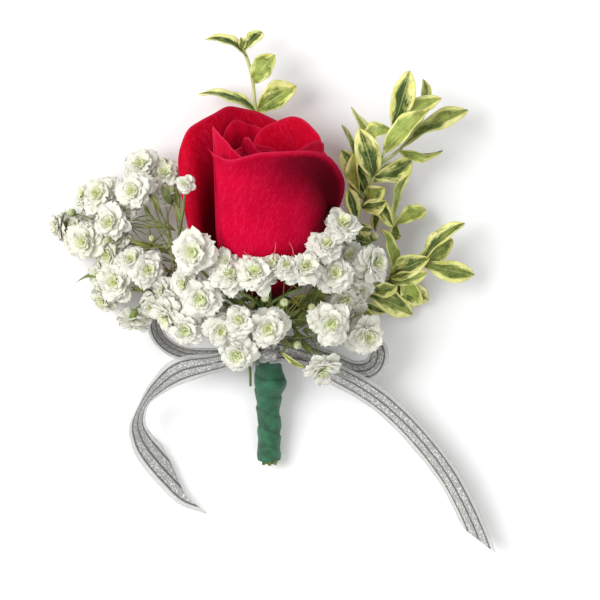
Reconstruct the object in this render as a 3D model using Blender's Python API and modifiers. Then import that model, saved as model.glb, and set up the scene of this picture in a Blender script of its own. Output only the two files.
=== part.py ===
"""Rose boutonniere, lying on its back.

A red rose bloom on its stem, three sprays of double gypsophila and three leafy stems of
variegated boxwood are bound together by green floral tape, with a ribbon bow tied round
the top of the binding. Metres, +Z up. The stems run towards -Y and the bloom faces +Z.
The origin is the middle of the flat spot on which the back of the bloom rests.

Layout values are in millimetres, measured from a point under the middle of the bloom,
and the finished nodes are moved so that the origin comes to the flat spot.
"""
import math
import random

import bmesh
import bpy
from mathutils import Matrix, Vector

MM = 0.001

# Driving dimensions, in millimetres
REST_SPOT = Vector((-0.4, -9.5, 0.0))
HIP = Vector((0.5, -31.0, 15.5))
BLOOM_TILT = math.radians(19.0)
BLOOM_HEIGHT = 57.0
PETAL_WALL = 0.8
PETAL_ROOT = 2.2
PETAL_ROOT_SPREAD = 0.62
PETAL_LIP = 0.16
BINDING_TOP = Vector((0.9, -44.0, 12.4))
BINDING_END = Vector((1.6, -86.0, 3.5))
ROSE_STEM_RADIUS = 1.6
SPRAY_STEM_RADIUS = 0.55
BUNDLE_RADIUS = 2.45
BUNDLE_SLOTS = 7
TAPE_BORE = 3.3
TAPE_RADIUS = 3.9
TAPE_CUT_BACK = 1.5
TAPE_LAPS = 9.0
TAPE_STEP = 0.28
TAPE_BULGE = 1.1
LEAF_WALL = 0.7
LEAF_ROOT = 0.16
LEAF_KEEL = 0.22
RIBBON_WIDTH = 10.0
RIBBON_WALL = 0.6
BAND_RADIUS = 4.75
BAND_WIDTH = 5.0
KNOT = Vector((0.4, -48.4, 20.0))
KNOT_SIZE = Vector((4.6, 4.2, 2.5))
PEDICEL_RADIUS = 0.32
FLORET_COLUMNS = 10
FLORET_FOOT = 0.34
SPRAY_SEED = 7
SCRAP_CORNERS = 16
FLAT_JOINT = math.radians(0.6)

BINDING_AXIS = (BINDING_TOP - BINDING_END).normalized()
BLOOM_AXIS = Vector((0.0, math.cos(BLOOM_TILT), math.sin(BLOOM_TILT)))
BLOOM_FRONT = Vector((0.0, -math.sin(BLOOM_TILT), math.cos(BLOOM_TILT)))


# ---------------------------------------------------------------- petals of the rose
# One entry a petal: first and last angle round the bloom (0 right, 90 front, 180 left),
# belly radius, then (height, radius) of the rim at five places from first to last angle,
# and how far the lip curls outwards.
ROSE_PETALS = [
    # outer whorl
    dict(turn=(-14, 146), belly=20.2, lip=1.6,
         rim=[(38.0, 26.0), (52.0, 23.0), (56.0, 20.4), (55.5, 19.8), (55.0, 19.4)]),
    dict(turn=(169, 289), belly=23.6, lip=0.6,
         rim=[(43.0, 27.4), (52.5, 26.6), (57.0, 24.5), (56.5, 22.6), (50.0, 22.6)]),
    dict(turn=(266, 392), belly=21.4, lip=0.8,
         rim=[(50.0, 20.6), (54.0, 20.4), (55.5, 20.0), (53.0, 20.0), (46.0, 21.0)]),
    # middle whorl
    dict(turn=(94, 152), belly=17.4, lip=0.4,
         rim=[(50.0, 16.6), (53.0, 16.9), (56.0, 17.2), (58.5, 17.6), (60.5, 18.0)]),
    dict(turn=(-42, 58), belly=17.8, lip=0.8,
         rim=[(50.0, 17.0), (54.0, 17.6), (55.5, 18.2), (54.0, 17.6), (48.0, 17.0)]),
    dict(turn=(140, 262), belly=19.6, lip=0.3,
         rim=[(46.0, 19.4), (51.0, 19.6), (54.0, 19.0), (54.0, 18.4), (50.0, 18.0)]),
    # inner whorl
    dict(turn=(196, 306), belly=13.6, lip=0.3,
         rim=[(54.0, 12.6), (57.5, 11.8), (58.0, 11.0), (55.0, 11.0), (51.0, 11.4)]),
    dict(turn=(-30, 84), belly=14.6, lip=0.3,
         rim=[(47.0, 13.6), (51.0, 13.2), (52.0, 13.0), (51.0, 13.2), (48.0, 13.6)]),
    dict(turn=(74, 190), belly=11.6, lip=0.2,
         rim=[(46.0, 10.6), (49.0, 10.2), (50.0, 10.0), (50.0, 9.8), (48.0, 9.8)]),
    # rolled centre
    dict(turn=(40, 214), belly=8.2, lip=0.5,
         rim=[(50.0, 6.6), (53.5, 6.2), (55.0, 6.2), (53.0, 6.4), (49.0, 7.0)]),
    dict(turn=(206, 392), belly=6.4, lip=0.2,
         rim=[(48.0, 4.2), (51.5, 4.0), (52.0, 4.0), (51.5, 4.2), (49.0, 4.6)]),
]

# Turned profiles, (radius, height) from top to bottom
BLOOM_CORE = [(0.0, 45.0), (2.6, 43.0), (4.0, 36.0), (6.4, 24.0), (8.2, 11.0), (10.4, 5.0),
              (10.9, 2.6), (7.0, 0.7), (0.0, 0.6)]
HIP_PROFILE = [(0.0, 0.3), (5.0, 0.3), (5.4, -0.6), (4.7, -3.4), (2.7, -6.4), (1.7, -9.0), (0.0, -9.2)]

# ---------------------------------------------------------------- gypsophila
# Stem routes, then florets as (x, y, z, width, lean, bearing): lean is the angle between the
# floret's face and straight up, and bearing the direction of that lean, both in degrees.
LEFT_ROUTES = [
    [(-4.5, -38.5, 15), (-15, -28, 20), (-27, -16, 21), (-36, -6, 18), (-42, 3, 14)],
    [(-4.5, -38.5, 15), (-10, -35, 14.5), (-19, -29.5, 14.5), (-33, -22, 15), (-46, -15, 12), (-59, -9, 6.5)],
    [(-19, -29.5, 14.5), (-31, -30.5, 17), (-42, -29, 14), (-49, -29, 11)],
    [(-4.5, -38.5, 15), (-15, -37, 20), (-27, -37, 20), (-38, -34.5, 18)],
    [(-27, -16, 21), (-27, -12, 31), (-25.6, -5, 36), (-24.8, 1, 38.2)],
    [(-4.5, -38.5, 15), (-6.4, -43, 11), (-5.8, -49, 8.6), (-4.8, -55, 7.2), (-4.6, -60.5, 6.4)],
]
LEFT_LEAVES = [((-46.0, -29.0, 12.2), (-62.3, -25.2, 9.0), 3.0, 20, 0.12)]
LEFT_FLORETS = [
    (-39.7, 11.1, 15.0, 11.6, 35, 110), (-41.8, 2.9, 22.0, 12.3, 20, 180),
    (-53.3, 1.7, 16.0, 11.6, 30, 150), (-58.3, 1.7, 10.0, 8.4, 60, 150),
    (-49.2, -7.0, 20.5, 9.7, 25, 200), (-57.9, -13.2, 15.0, 11.6, 30, 190),
    (-66.6, -7.8, 3.3, 7.4, 82, 185), (-62.0, -8.8, 6.6, 7.4, 50, 170),
    (-32.0, 9.2, 10.0, 8.8, 30, 100), (-31.6, 1.4, 9.0, 8.6, 25, 60),
    (-48.0, -26.3, 17.0, 11.6, 25, 200), (-52.2, -32.0, 10.0, 8.4, 50, 225),
    (-42.6, -19.6, 22.5, 8.0, 25, 100), (-37.3, -22.8, 24.0, 9.9, 12, 20),
    (-42.3, -38.8, 18.0, 9.0, 118, 258), (-32.0, -29.2, 23.0, 8.0, 60, 200),
    (-50.8, -17.9, 12.5, 8.6, 35, 200), (-21.9, -17.2, 41.0, 14.2, 14, 190),
    (-24.6, -27.0, 33.0, 9.0, 30, 200), (-19.8, -31.8, 36.0, 13.0, 10, 250),
    (-30.9, -37.2, 24.0, 10.4, 60, 228), (-24.6, -41.4, 27.0, 10.4, 28, 250),
    (-24.6, 4.3, 41.0, 6.1, 8, 120), (-63.0, -3.7, 9.0, 3.0, 40, 140), (-32.8, 12.9, 13.0, 2.8, 30, 100),
    (-50.5, -13.0, 21.5, 2.8, 30, 200), (-36.0, -12.5, 24.0, 2.6, 20, 60),
]
CENTRE_ROUTES = [
    [(1.0, -39, 21), (0.0, -35, 27), (-0.5, -31, 32)],
    [(0.0, -35, 27), (-5, -31, 31), (-9, -29.5, 33)],
    [(0.0, -35, 27), (6, -31, 31), (12, -28.5, 33)],
    [(1.0, -39, 21), (-5, -41, 24), (-11, -43, 24.5)],
]
CENTRE_FLORETS = [
    (-10.3, -24.4, 40.0, 9.7, 22, 100), (-12.2, -20.8, 38.0, 8.0, 35, 130),
    (-2.5, -24.0, 43.0, 11.2, 26, 96), (2.9, -21.2, 41.5, 5.6, 30, 90),
    (7.2, -21.8, 43.0, 6.4, 30, 80), (13.1, -22.3, 41.5, 9.9, 30, 60),
    (-13.3, -41.7, 31.0, 9.4, 18, 270), (-7.6, -38.9, 34.5, 8.2, 15, 120),
    (1.4, -41.3, 33.5, 13.0, 6, 270), (-8.5, -49.2, 28.0, 11.6, 30, 255),
    (6.6, -33.0, 37.0, 3.5, 15, 60), (10.6, -46.6, 27.0, 3.5, 40, 330), (0.6, -31.6, 37.5, 3.2, 15, 100),
]
RIGHT_ROUTES = [
    [(8, -38.5, 19), (15, -31, 24), (22, -24, 27), (27, -15, 28)],
    [(15, -31, 24), (23, -29, 22), (31, -24, 20)],
    [(8, -38.5, 19), (16, -38, 21), (25, -40, 19)],
    [(8, -38.5, 19), (11, -43, 22), (15.5, -48.5, 24)],
    [(11, -43, 22), (7.6, -46.6, 24), (5.6, -49.6, 24.6)],
]
RIGHT_LEAVES = [((5.8, -49.4, 24.6), (13.4, -54.6, 22.4), 2.8, 20, 0.1)]
RIGHT_FLORETS = [
    (19.8, -15.0, 38.5, 8.4, 25, 70), (25.0, -8.8, 35.5, 12.3, 40, 75), (22.6, -24.0, 35.5, 11.6, 14, 60),
    (27.5, -18.2, 28.0, 9.0, 20, 90), (34.9, -20.3, 27.0, 11.4, 48, 5), (30.6, -23.6, 22.5, 9.4, 30, 330),
    (30.0, -28.4, 18.0, 9.4, 35, 320), (26.2, -31.8, 21.5, 10.0, 25, 270), (28.6, -36.0, 19.0, 8.2, 60, 300),
    (21.3, -39.5, 32.0, 13.4, 12, 300), (33.0, -43.8, 22.5, 11.6, 30, 320), (18.6, -54.4, 25.0, 10.4, 62, 292),
    (35.6, -11.8, 20.0, 3.2, 60, 60), (15.4, -34.6, 31.0, 3.2, 15, 60),
]

# ---------------------------------------------------------------- boxwood
# Stem routes, then leaves as (base, tip, width, roll, arch): roll turns the blade about its
# own length, in degrees, and arch is the rise of its middle as a share of its length.
TOP_ROUTES = [
    [(4, -36, 7.5), (9.5, -22, 2.9), (11.5, -6, 1.4), (9.5, 11, 2.2), (3, 22, 5.6), (-2.4, 29, 9.5),
     (-3.9, 40, 13), (-5.8, 46.6, 14.4), (-7.1, 49.4, 14.6)],
]
TOP_LEAVES = [
    ((-6.0, 46.4, 14.4), (-18.5, 52.8, 16.6), 5.0, 55, 0.14),
    ((-6.6, 48.2, 14.5), (-0.5, 54.6, 13.0), 4.4, -25, 0.16),
    ((-7.1, 49.0, 14.6), (-7.6, 52.6, 16.0), 2.6, 10, 0.1),
    ((-3.8, 39.0, 12.8), (3.4, 47.0, 16.6), 6.6, -12, 0.1),
    ((-2.5, 29.5, 9.6), (-21.2, 35.6, 8.6), 5.6, 52, 0.1),
    ((-2.4, 28.6, 9.4), (10.4, 37.2, 12.5), 8.0, -14, 0.1),
]
UPPER_ROUTES = [
    [(8, -37.5, 11.5), (17, -29, 11), (25.5, -17, 12), (32.4, 0, 14), (36.6, 10, 16.5), (39.9, 18, 18),
     (42.3, 25.8, 19.5)],
    [(37.2, 11.5, 16.8), (44.6, 17.2, 15.5), (50.6, 25.6, 15.0)],
    [(32.4, 0, 14), (37.0, 1.2, 13), (40.6, -2.2, 11.8), (42.9, -7.6, 10.2)],
]
UPPER_LEAVES = [
    ((41.0, 23.4, 19.2), (47.0, 41.4, 22.5), 6.8, 10, 0.08), ((42.0, 25.2, 19.4), (57.4, 32.4, 18.0), 6.4, -46, 0.1),
    ((50.2, 25.4, 15.0), (52.0, 39.4, 14.5), 4.4, 50, 0.06), ((39.2, 15.4, 17.8), (53.8, 28.4, 22.0), 6.8, -28, 0.08),
    ((45.0, 17.6, 15.4), (65.9, 30.4, 13.0), 6.4, -38, 0.07), ((35.4, 8.0, 16.0), (48.0, 13.2, 12.5), 6.2, 24, 0.1),
    ((43.2, 16.0, 15.6), (57.9, 16.8, 11.0), 4.2, 52, 0.12), ((34.4, 7.4, 16.4), (31.0, 22.8, 21.5), 7.6, 8, 0.08),
    ((41.6, 22.8, 19.0), (32.4, 21.6, 16.0), 5.4, 20, 0.14), ((35.6, 8.6, 15.6), (28.6, 30.6, 12.5), 5.2, 50, 0.05),
    ((32.6, 1.6, 13.8), (24.8, 24.6, 9.0), 5.2, 48, 0.05), ((32.8, 2.6, 14.4), (25.2, 16.6, 12.0), 6.8, 12, 0.08),
    ((31.8, -0.6, 14.2), (28.4, 14.8, 18.0), 5.0, -50, 0.08), ((35.4, 5.6, 15.6), (42.6, 11.4, 10.5), 5.4, 25, 0.1),
    ((32.4, 0.6, 14.6), (38.8, 4.0, 19.5), 5.6, -10, 0.1), ((29.6, -6.6, 13.6), (26.9, 4.0, 17.0), 4.4, 15, 0.12),
    ((32.0, -1.4, 13.8), (39.6, -0.4, 17.0), 5.2, 20, 0.1), ((42.6, -6.6, 10.4), (47.4, 10.6, 8.0), 5.0, 58, -0.14),
    ((42.8, -7.2, 10.2), (52.8, -2.6, 6.5), 5.4, -24, 0.1), ((37.2, 1.0, 13.0), (42.2, -8.6, 15.5), 4.4, 25, 0.08),
    ((37.8, 0.6, 12.8), (37.2, -9.8, 8.5), 4.4, 52, 0.08), ((42.9, -7.4, 10.2), (43.0, -12.6, 7.0), 3.6, 20, 0.1),
    ((27.4, -12.8, 12.4), (35.0, -13.6, 9.5), 7.0, 10, 0.1), ((29.4, -7.4, 13.6), (34.8, -9.6, 11.5), 3.6, 20, 0.3),
]
LOWER_ROUTES = [
    [(9, -39.5, 9), (18, -36, 8.5), (29, -31, 9.5), (36, -27.6, 11), (42, -24.4, 12), (48.6, -21.2, 12.8),
     (52.4, -19.6, 13.0)],
]
LOWER_LEAVES = [
    ((51.0, -20.6, 13.0), (68.6, -24.0, 8.5), 6.4, 14, 0.1), ((51.4, -20.0, 13.0), (64.8, -7.4, 16.5), 6.0, -52, 0.1),
    ((48.8, -20.8, 12.8), (61.6, -12.6, 9.5), 6.0, 12, 0.1), ((40.8, -24.6, 12.0), (53.0, -18.6, 17.0), 6.8, -14, 0.1),
    ((41.4, -24.0, 12.0), (39.0, -9.2, 15.0), 5.2, 45, 0.08), ((40.0, -25.6, 11.8), (52.6, -23.6, 16.5), 5.4, 30, 0.08),
    ((39.4, -26.2, 11.6), (54.4, -32.4, 0.3), 6.4, 6, 0.12), ((32.6, -29.6, 10.2), (48.0, -37.0, 3.0), 6.8, -10, 0.14),
    ((33.4, -29.2, 10.6), (43.4, -27.0, 14.5), 5.6, 30, 0.1), ((28.6, -31.4, 9.4), (39.6, -35.4, 6.0), 4.0, 50, 0.08),
    ((28.2, -31.8, 9.4), (37.2, -38.4, 4.0), 4.2, 45, 0.08), ((44.8, -23.2, 12.2), (50.0, -34.0, 2.2), 6.0, 10, 0.12),
]

# ---------------------------------------------------------------- ribbon
# Each strand is a list of stations: x, y, z of its middle, bearing and slope of the line
# across it in degrees, and how much of its width is left, measured from its outer edge.
LEFT_TAIL = [
    (-1.0, -48.2, 19.6, 100, 30, 0.5), (-7.0, -49.8, 19.0, 104, 40, 0.7), (-15.0, -52.4, 17.0, 108, 52, 1.0),
    (-26.8, -55.2, 14.5, 112, 32, 1.0), (-34.4, -60.4, 12.0, 131, 56, 1.0), (-39.5, -66.4, 10.5, 156, 74, 1.0),
    (-41.5, -72.3, 9.0, 176, 64, 1.0), (-40.2, -77.7, 7.5, 197, 46, 1.0), (-37.2, -82.6, 6.0, 214, 28, 1.0),
    (-31.2, -89.8, 4.0, 221, 20, 0.72), (-24.6, -96.0, 3.2, 224, 18, 0.36), (-16.0, -99.0, 2.6, 226, 15, 0.06),
]
RIGHT_TAIL = [
    (1.0, -48.4, 19.6, 70, 30, 0.5), (6.5, -49.6, 18.4, 64, 40, 0.7), (15.5, -52.4, 15.4, 58, 45, 1.0),
    (32.3, -61.4, 11.5, 56, 42, 1.0), (42.2, -69.0, 9.4, 46, 43, 1.0), (50.8, -77.7, 8.2, 41, 44, 1.0),
    (58.4, -87.5, 7.2, 33, 45, 1.0), (63.6, -96.2, 6.4, 25, 46, 1.0), (68.0, -105.2, 5.6, 20, 45, 0.96),
    (70.4, -111.0, 4.8, 18, 44, 0.5), (72.0, -115.6, 4.2, 16, 42, 0.06),
]
LEFT_LOOP = [
    (-1.0, -48.8, 19.0, 262, 30, 0.6), (-8.0, -50.2, 15.5, 262, 50, 0.9), (-20.0, -50.4, 11.6, 264, 64, 1.0),
    (-28.6, -48.8, 10.4, 240, 64, 1.0), (-33.6, -45.2, 10.2, 210, 64, 1.0), (-35.4, -40.8, 10.2, 182, 64, 1.0),
    (-34.2, -37.2, 10.2, 140, 66, 1.0), (-29.0, -36.6, 10.2, 85, 68, 1.0), (-19.0, -40.8, 10.8, 66, 68, 1.0),
    (-10.0, -45.4, 13.0, 62, 62, 0.9), (-1.4, -48.0, 18.6, 74, 40, 0.6),
]
RIGHT_LOOP = [
    (1.0, -48.4, 19.0, 280, 30, 0.6), (9.0, -48.6, 16.4, 262, 40, 0.9), (20.0, -51.8, 12.4, 246, 52, 1.0),
    (29.0, -55.4, 10.4, 262, 50, 1.0), (34.8, -54.6, 10.0, 300, 48, 1.0), (37.0, -50.4, 10.0, 350, 50, 1.0),
    (35.2, -46.4, 10.0, 405, 56, 1.0), (29.0, -44.8, 10.0, 440, 64, 1.0), (19.0, -45.4, 10.6, 452, 66, 1.0),
    (10.0, -46.4, 12.6, 456, 60, 0.9), (1.4, -47.8, 18.6, 452, 40, 0.6),
]


# ---------------------------------------------------------------- general helpers
def smooth_path(points, spans):
    """Catmull-Rom curve through the points, with the given number of steps between them."""
    rows = [Vector(p) for p in points]
    rows = [rows[0] * 2 - rows[1]] + rows + [rows[-1] * 2 - rows[-2]]
    path = []
    for before, start, end, after in zip(rows, rows[1:], rows[2:], rows[3:]):
        for step in range(spans):
            t = step / spans
            path.append(0.5 * (2 * start + (end - before) * t
                               + (2 * before - 5 * start + 4 * end - after) * t * t
                               + (3 * start - before - 3 * end + after) * t ** 3))
    path.append(rows[-2])
    return path


def ease(value):
    """Smooth step from 0 to 1."""
    value = min(max(value, 0.0), 1.0)
    return value * value * (3.0 - 2.0 * value)


def at_five(values, place):
    """Smooth value between five evenly spaced ones; place runs from 0 to 1."""
    steps = len(values) - 1
    index = min(int(place * steps), steps - 1)
    before = values[max(index - 1, 0)]
    start = values[index]
    end = values[index + 1]
    after = values[min(index + 2, steps)]
    t = place * steps - index
    return 0.5 * (2 * start + (end - before) * t + (2 * before - 5 * start + 4 * end - after) * t * t
                  + (3 * start - before - 3 * end + after) * t ** 3)


def frame_along(direction, about=Vector((0.0, 0.0, 1.0))):
    """Rotation whose Z axis is the direction and whose Y axis leans towards about."""
    z = direction.normalized()
    x = about.cross(z)
    if x.length < 1e-4:
        x = Vector((1.0, 0.0, 0.0))
    x.normalize()
    return Matrix((x, z.cross(x), z)).transposed()


def bloom_point(angle, radius, height):
    """Point of the bloom from its angle in degrees, radius and height above the hip."""
    turn = math.radians(angle)
    side = Vector((math.cos(turn) * radius, 0.0, 0.0))
    return HIP + side + BLOOM_FRONT * (math.sin(turn) * radius) + BLOOM_AXIS * height


def bundle_point(slot, along):
    """Middle of a stem's slot in the bundle; along runs from 0 at the cut end to 1 at the top."""
    turn = math.radians(90.0 + slot * 360.0 / BUNDLE_SLOTS)
    across = frame_along(BINDING_AXIS)
    offset = across @ Vector((-math.cos(turn), math.sin(turn), 0.0)) * BUNDLE_RADIUS
    return BINDING_END.lerp(BINDING_TOP, along) + offset


def make_material(name, colour, roughness):
    material = bpy.data.materials.new(name)
    material.use_nodes = True
    shader = material.node_tree.nodes["Principled BSDF"]
    shader.inputs["Base Color"].default_value = (*colour, 1.0)
    shader.inputs["Roughness"].default_value = roughness
    shader.inputs["Metallic"].default_value = 0.0
    return material


# ---------------------------------------------------------------- pieces, kept apart until joined
def add_piece(bm, name, pieces):
    """Object from a bmesh in millimetres, put in the collection of pieces."""
    bmesh.ops.scale(bm, vec=(MM, MM, MM), verts=bm.verts)
    mesh = bpy.data.meshes.new(name)
    bm.to_mesh(mesh)
    bm.free()
    piece = bpy.data.objects.new(name, mesh)
    pieces.objects.link(piece)
    return piece


def add_wall(piece, thickness):
    """Solidify an open surface evenly to both sides."""
    wall = piece.modifiers.new("Wall", "SOLIDIFY")
    wall.thickness = thickness * MM
    wall.offset = 0.0
    wall.use_even_offset = False


def mapped_grid(name, pieces, across, along, place):
    """Open grid; place gives the point for (u, v), u across and v along, both 0 to 1."""
    bm = bmesh.new()
    bmesh.ops.create_grid(bm, x_segments=across, y_segments=along, size=1.0)
    for vertex in bm.verts:
        u = (vertex.co.x + 1.0) / 2.0
        v = (vertex.co.y + 1.0) / 2.0
        vertex.co = place(u, v)
    bmesh.ops.triangulate(bm, faces=bm.faces, quad_method="FIXED")
    return add_piece(bm, name, pieces)


def mapped_sphere(name, pieces, columns, rows, place):
    """Closed form; place gives the point for (column, row), row 0 at the bottom pole."""
    bm = bmesh.new()
    bmesh.ops.create_uvsphere(bm, u_segments=columns, v_segments=rows, radius=1.0)
    for vertex in bm.verts:
        row = round((math.asin(max(-1.0, min(1.0, vertex.co.z))) / math.pi + 0.5) * rows)
        column = round(math.atan2(vertex.co.y, vertex.co.x) / (2.0 * math.pi) * columns) % columns
        vertex.co = place(column, row)
    bmesh.ops.triangulate(bm, faces=bm.faces, quad_method="FIXED")
    return add_piece(bm, name, pieces)


def add_turned(name, pieces, profile, steps):
    """Turned body about the bloom's axis from a (radius, height) profile, top to bottom."""
    mesh = bpy.data.meshes.new(name)
    rows = [(radius * MM, 0.0, height * MM) for radius, height in profile]
    mesh.from_pydata(rows, [(i, i + 1) for i in range(len(rows) - 1)], [])
    turned = bpy.data.objects.new(name, mesh)
    turn = turned.modifiers.new("Turn", "SCREW")
    turn.steps = steps
    turn.render_steps = steps
    turn.use_merge_vertices = True
    turn.merge_threshold = 0.00001
    turned.matrix_world = Matrix.Translation(HIP * MM) @ frame_along(BLOOM_AXIS, BLOOM_FRONT).to_4x4()
    pieces.objects.link(turned)
    return turned


def add_tube(name, pieces, points, radius, tip=1.0, resolution=1):
    """Round stem along the points, in millimetres, with filled ends, as a welded mesh."""
    curve = bpy.data.curves.new(name, "CURVE")
    curve.dimensions = "3D"
    curve.bevel_depth = MM
    curve.bevel_resolution = resolution
    curve.use_fill_caps = True
    spline = curve.splines.new("POLY")
    spline.points.add(len(points) - 1)
    for index, point in enumerate(points):
        spline.points[index].co = (*(Vector(point) * MM), 1.0)
        spline.points[index].radius = radius * (1.0 + (tip - 1.0) * index / (len(points) - 1))
    guide = bpy.data.objects.new(name, curve)
    pieces.objects.link(guide)
    depsgraph = bpy.context.evaluated_depsgraph_get()
    mesh = bpy.data.meshes.new_from_object(guide.evaluated_get(depsgraph))
    bpy.data.objects.remove(guide)
    bpy.data.curves.remove(curve)
    bm = bmesh.new()
    bm.from_mesh(mesh)
    bmesh.ops.remove_doubles(bm, verts=bm.verts, dist=0.00001)
    bmesh.ops.triangulate(bm, faces=bm.faces)
    bm.to_mesh(mesh)
    bm.free()
    tube = bpy.data.objects.new(name, mesh)
    pieces.objects.link(tube)
    return tube


def ground_cutter(cutters):
    """Block under the surface that trims what would reach below it."""
    bm = bmesh.new()
    bmesh.ops.create_cube(bm, size=1.0)
    bmesh.ops.scale(bm, vec=(260.0, 260.0, 20.0), verts=bm.verts)
    bmesh.ops.translate(bm, vec=(0.0, -30.0, -10.0), verts=bm.verts)
    cutter = add_piece(bm, "ground", cutters)
    cutter.hide_render = True
    cutter.display_type = "WIRE"
    return cutter


def drop_scraps(mesh):
    """Removes the slivers that a union can leave beside the body."""
    bm = bmesh.new()
    bm.from_mesh(mesh)
    left = set(bm.verts)
    while left:
        shell = [left.pop()]
        for vertex in shell:
            for edge in vertex.link_edges:
                other = edge.other_vert(vertex)
                if other in left:
                    left.remove(other)
                    shell.append(other)
        if len(shell) <= SCRAP_CORNERS:
            bmesh.ops.delete(bm, geom=shell, context="VERTS")
            left = {vertex for vertex in left if vertex.is_valid}
    bmesh.ops.dissolve_limit(bm, angle_limit=FLAT_JOINT, verts=bm.verts, edges=bm.edges)
    bmesh.ops.triangulate(bm, faces=bm.faces)
    bm.to_mesh(mesh)
    bm.free()


def join_node(name, pieces, nodes, material, ground=None):
    """One union of all pieces in the collection, trimmed at the surface, as a named node."""
    first = pieces.objects[0]
    pieces.objects.unlink(first)
    nodes.objects.link(first)
    if len(pieces.objects) > 0:
        union = first.modifiers.new("Union", "BOOLEAN")
        union.operation = "UNION"
        union.operand_type = "COLLECTION"
        union.collection = pieces
        union.solver = "MANIFOLD"
    if ground is not None:
        trim = first.modifiers.new("Trim", "BOOLEAN")
        trim.operation = "DIFFERENCE"
        trim.object = ground
        trim.solver = "MANIFOLD"
    depsgraph = bpy.context.evaluated_depsgraph_get()
    mesh = bpy.data.meshes.new_from_object(first.evaluated_get(depsgraph))
    mesh.transform(first.matrix_world)
    drop_scraps(mesh)
    mesh.name = name
    mesh.materials.clear()
    mesh.materials.append(material)
    mesh.shade_smooth()
    mesh.set_sharp_from_angle(angle=math.radians(40.0))
    node = bpy.data.objects.new(name, mesh)
    node.location = -REST_SPOT * MM
    nodes.objects.link(node)
    bpy.data.objects.remove(first)
    for piece in list(pieces.objects):
        bpy.data.objects.remove(piece)
    return node


# ---------------------------------------------------------------- the rose
def petal_wall_radius(height, belly):
    """Outline of the bloom's cup: rounded at the bottom, then nearly upright."""
    rise = min(height / (0.45 * BLOOM_HEIGHT), 1.0)
    return belly * math.sqrt(1.0 - (1.0 - rise) ** 2.2)


def add_petal(name, pieces, petal):
    first, last = petal["turn"]
    heights = [rim[0] for rim in petal["rim"]]
    radii = [rim[1] for rim in petal["rim"]]

    def place(u, v):
        spread = PETAL_ROOT_SPREAD + (1.0 - PETAL_ROOT_SPREAD) * math.sqrt(v)
        angle = (first + last) / 2.0 + (last - first) * (u - 0.5) * spread
        height = PETAL_ROOT + (at_five(heights, u) - PETAL_ROOT) * v
        radius = petal_wall_radius(height, petal["belly"])
        radius += (at_five(radii, u) - petal["belly"]) * ease(v) * v
        curl = max(0.0, (v - 1.0 + PETAL_LIP) / PETAL_LIP)
        radius += petal["lip"] * curl * curl
        return bloom_point(angle, radius, height)

    piece = mapped_grid(name, pieces, 7, 4, place)
    add_wall(piece, PETAL_WALL)
    return piece


def build_bloom(pieces):
    add_turned("core", pieces, BLOOM_CORE, 12)
    for index, petal in enumerate(ROSE_PETALS):
        add_petal(f"petal_{index}", pieces, petal)


def build_rose_stem(pieces):
    add_turned("hip", pieces, HIP_PROFILE, 12)
    neck = HIP - BLOOM_AXIS * 6.0
    route = smooth_path([neck, (0.6, -40.0, 13.9), BINDING_TOP], 3)
    route.append(BINDING_END)
    add_tube("stem", pieces, route, ROSE_STEM_RADIUS)
    for index in range(5):
        angle = 54.0 + 72.0 * index
        base = bloom_point(angle, 3.8, -1.6)
        tip = bloom_point(angle, 10.6, -3.6)
        add_leaf(f"sepal_{index}", pieces, (base, tip, 3.8, 0.0, 0.06), BLOOM_AXIS)


# ---------------------------------------------------------------- leaves and sprays
def add_leaf(name, pieces, leaf, about=Vector((0.0, 0.0, 1.0)), along=3):
    """Blade with a shallow keel along its midrib, arched along its length."""
    base, tip, width, roll, arch = leaf
    base = Vector(base)
    tip = Vector(tip)
    length = (tip - base).length
    turn = frame_along(tip - base, about) @ Matrix.Rotation(math.radians(roll), 3, "Z")

    def place(u, v):
        side = 2.0 * u - 1.0
        half = 0.5 * width * (LEAF_ROOT + (1.0 - LEAF_ROOT) * max(0.0, math.sin(math.pi * v ** 1.1)) ** 0.7)
        rise = arch * length * 4.0 * v * (1.0 - v) + LEAF_KEEL * abs(side) * half
        return base + turn @ Vector((side * half, rise, v * length))

    piece = mapped_grid(name, pieces, 2, along, place)
    add_wall(piece, LEAF_WALL)
    return piece


def add_routes(pieces, routes, slot, radius=SPRAY_STEM_RADIUS):
    """First route starts in the bundle; the others branch off it."""
    paths = []
    for index, route in enumerate(routes):
        if index == 0:
            route = [bundle_point(slot, 0.9), bundle_point(slot, 1.05)] + list(route)
        path = smooth_path(route, 2)
        if index == 0:
            path[0] = bundle_point(slot, 0.0)
        add_tube(f"stem_{index}", pieces, path, radius, tip=0.7, resolution=0)
        paths.append(path)
    return paths


def nearest_on(paths, point):
    """Point of the stems that lies nearest to the given one."""
    found = []
    for path in paths:
        for start, end in zip(path, path[1:]):
            run = end - start
            share = max(0.0, min(1.0, (point - start).dot(run) / run.length_squared))
            found.append(start + run * share)
    return min(found, key=lambda spot: (spot - point).length)


# radius and height of each row of the floret, as shares of its width, from its foot up
FLORET_ROWS = [(0.0, -0.34), (0.52, 0.0), (0.3, 0.07), (0.4, 0.2), (0.0, 0.2)]
FLORET_NOTCH = [0.0, 0.22, 0.0, 0.26, 0.0]
FLORET_RINGS = {1: 0, 3: 1}


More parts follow.
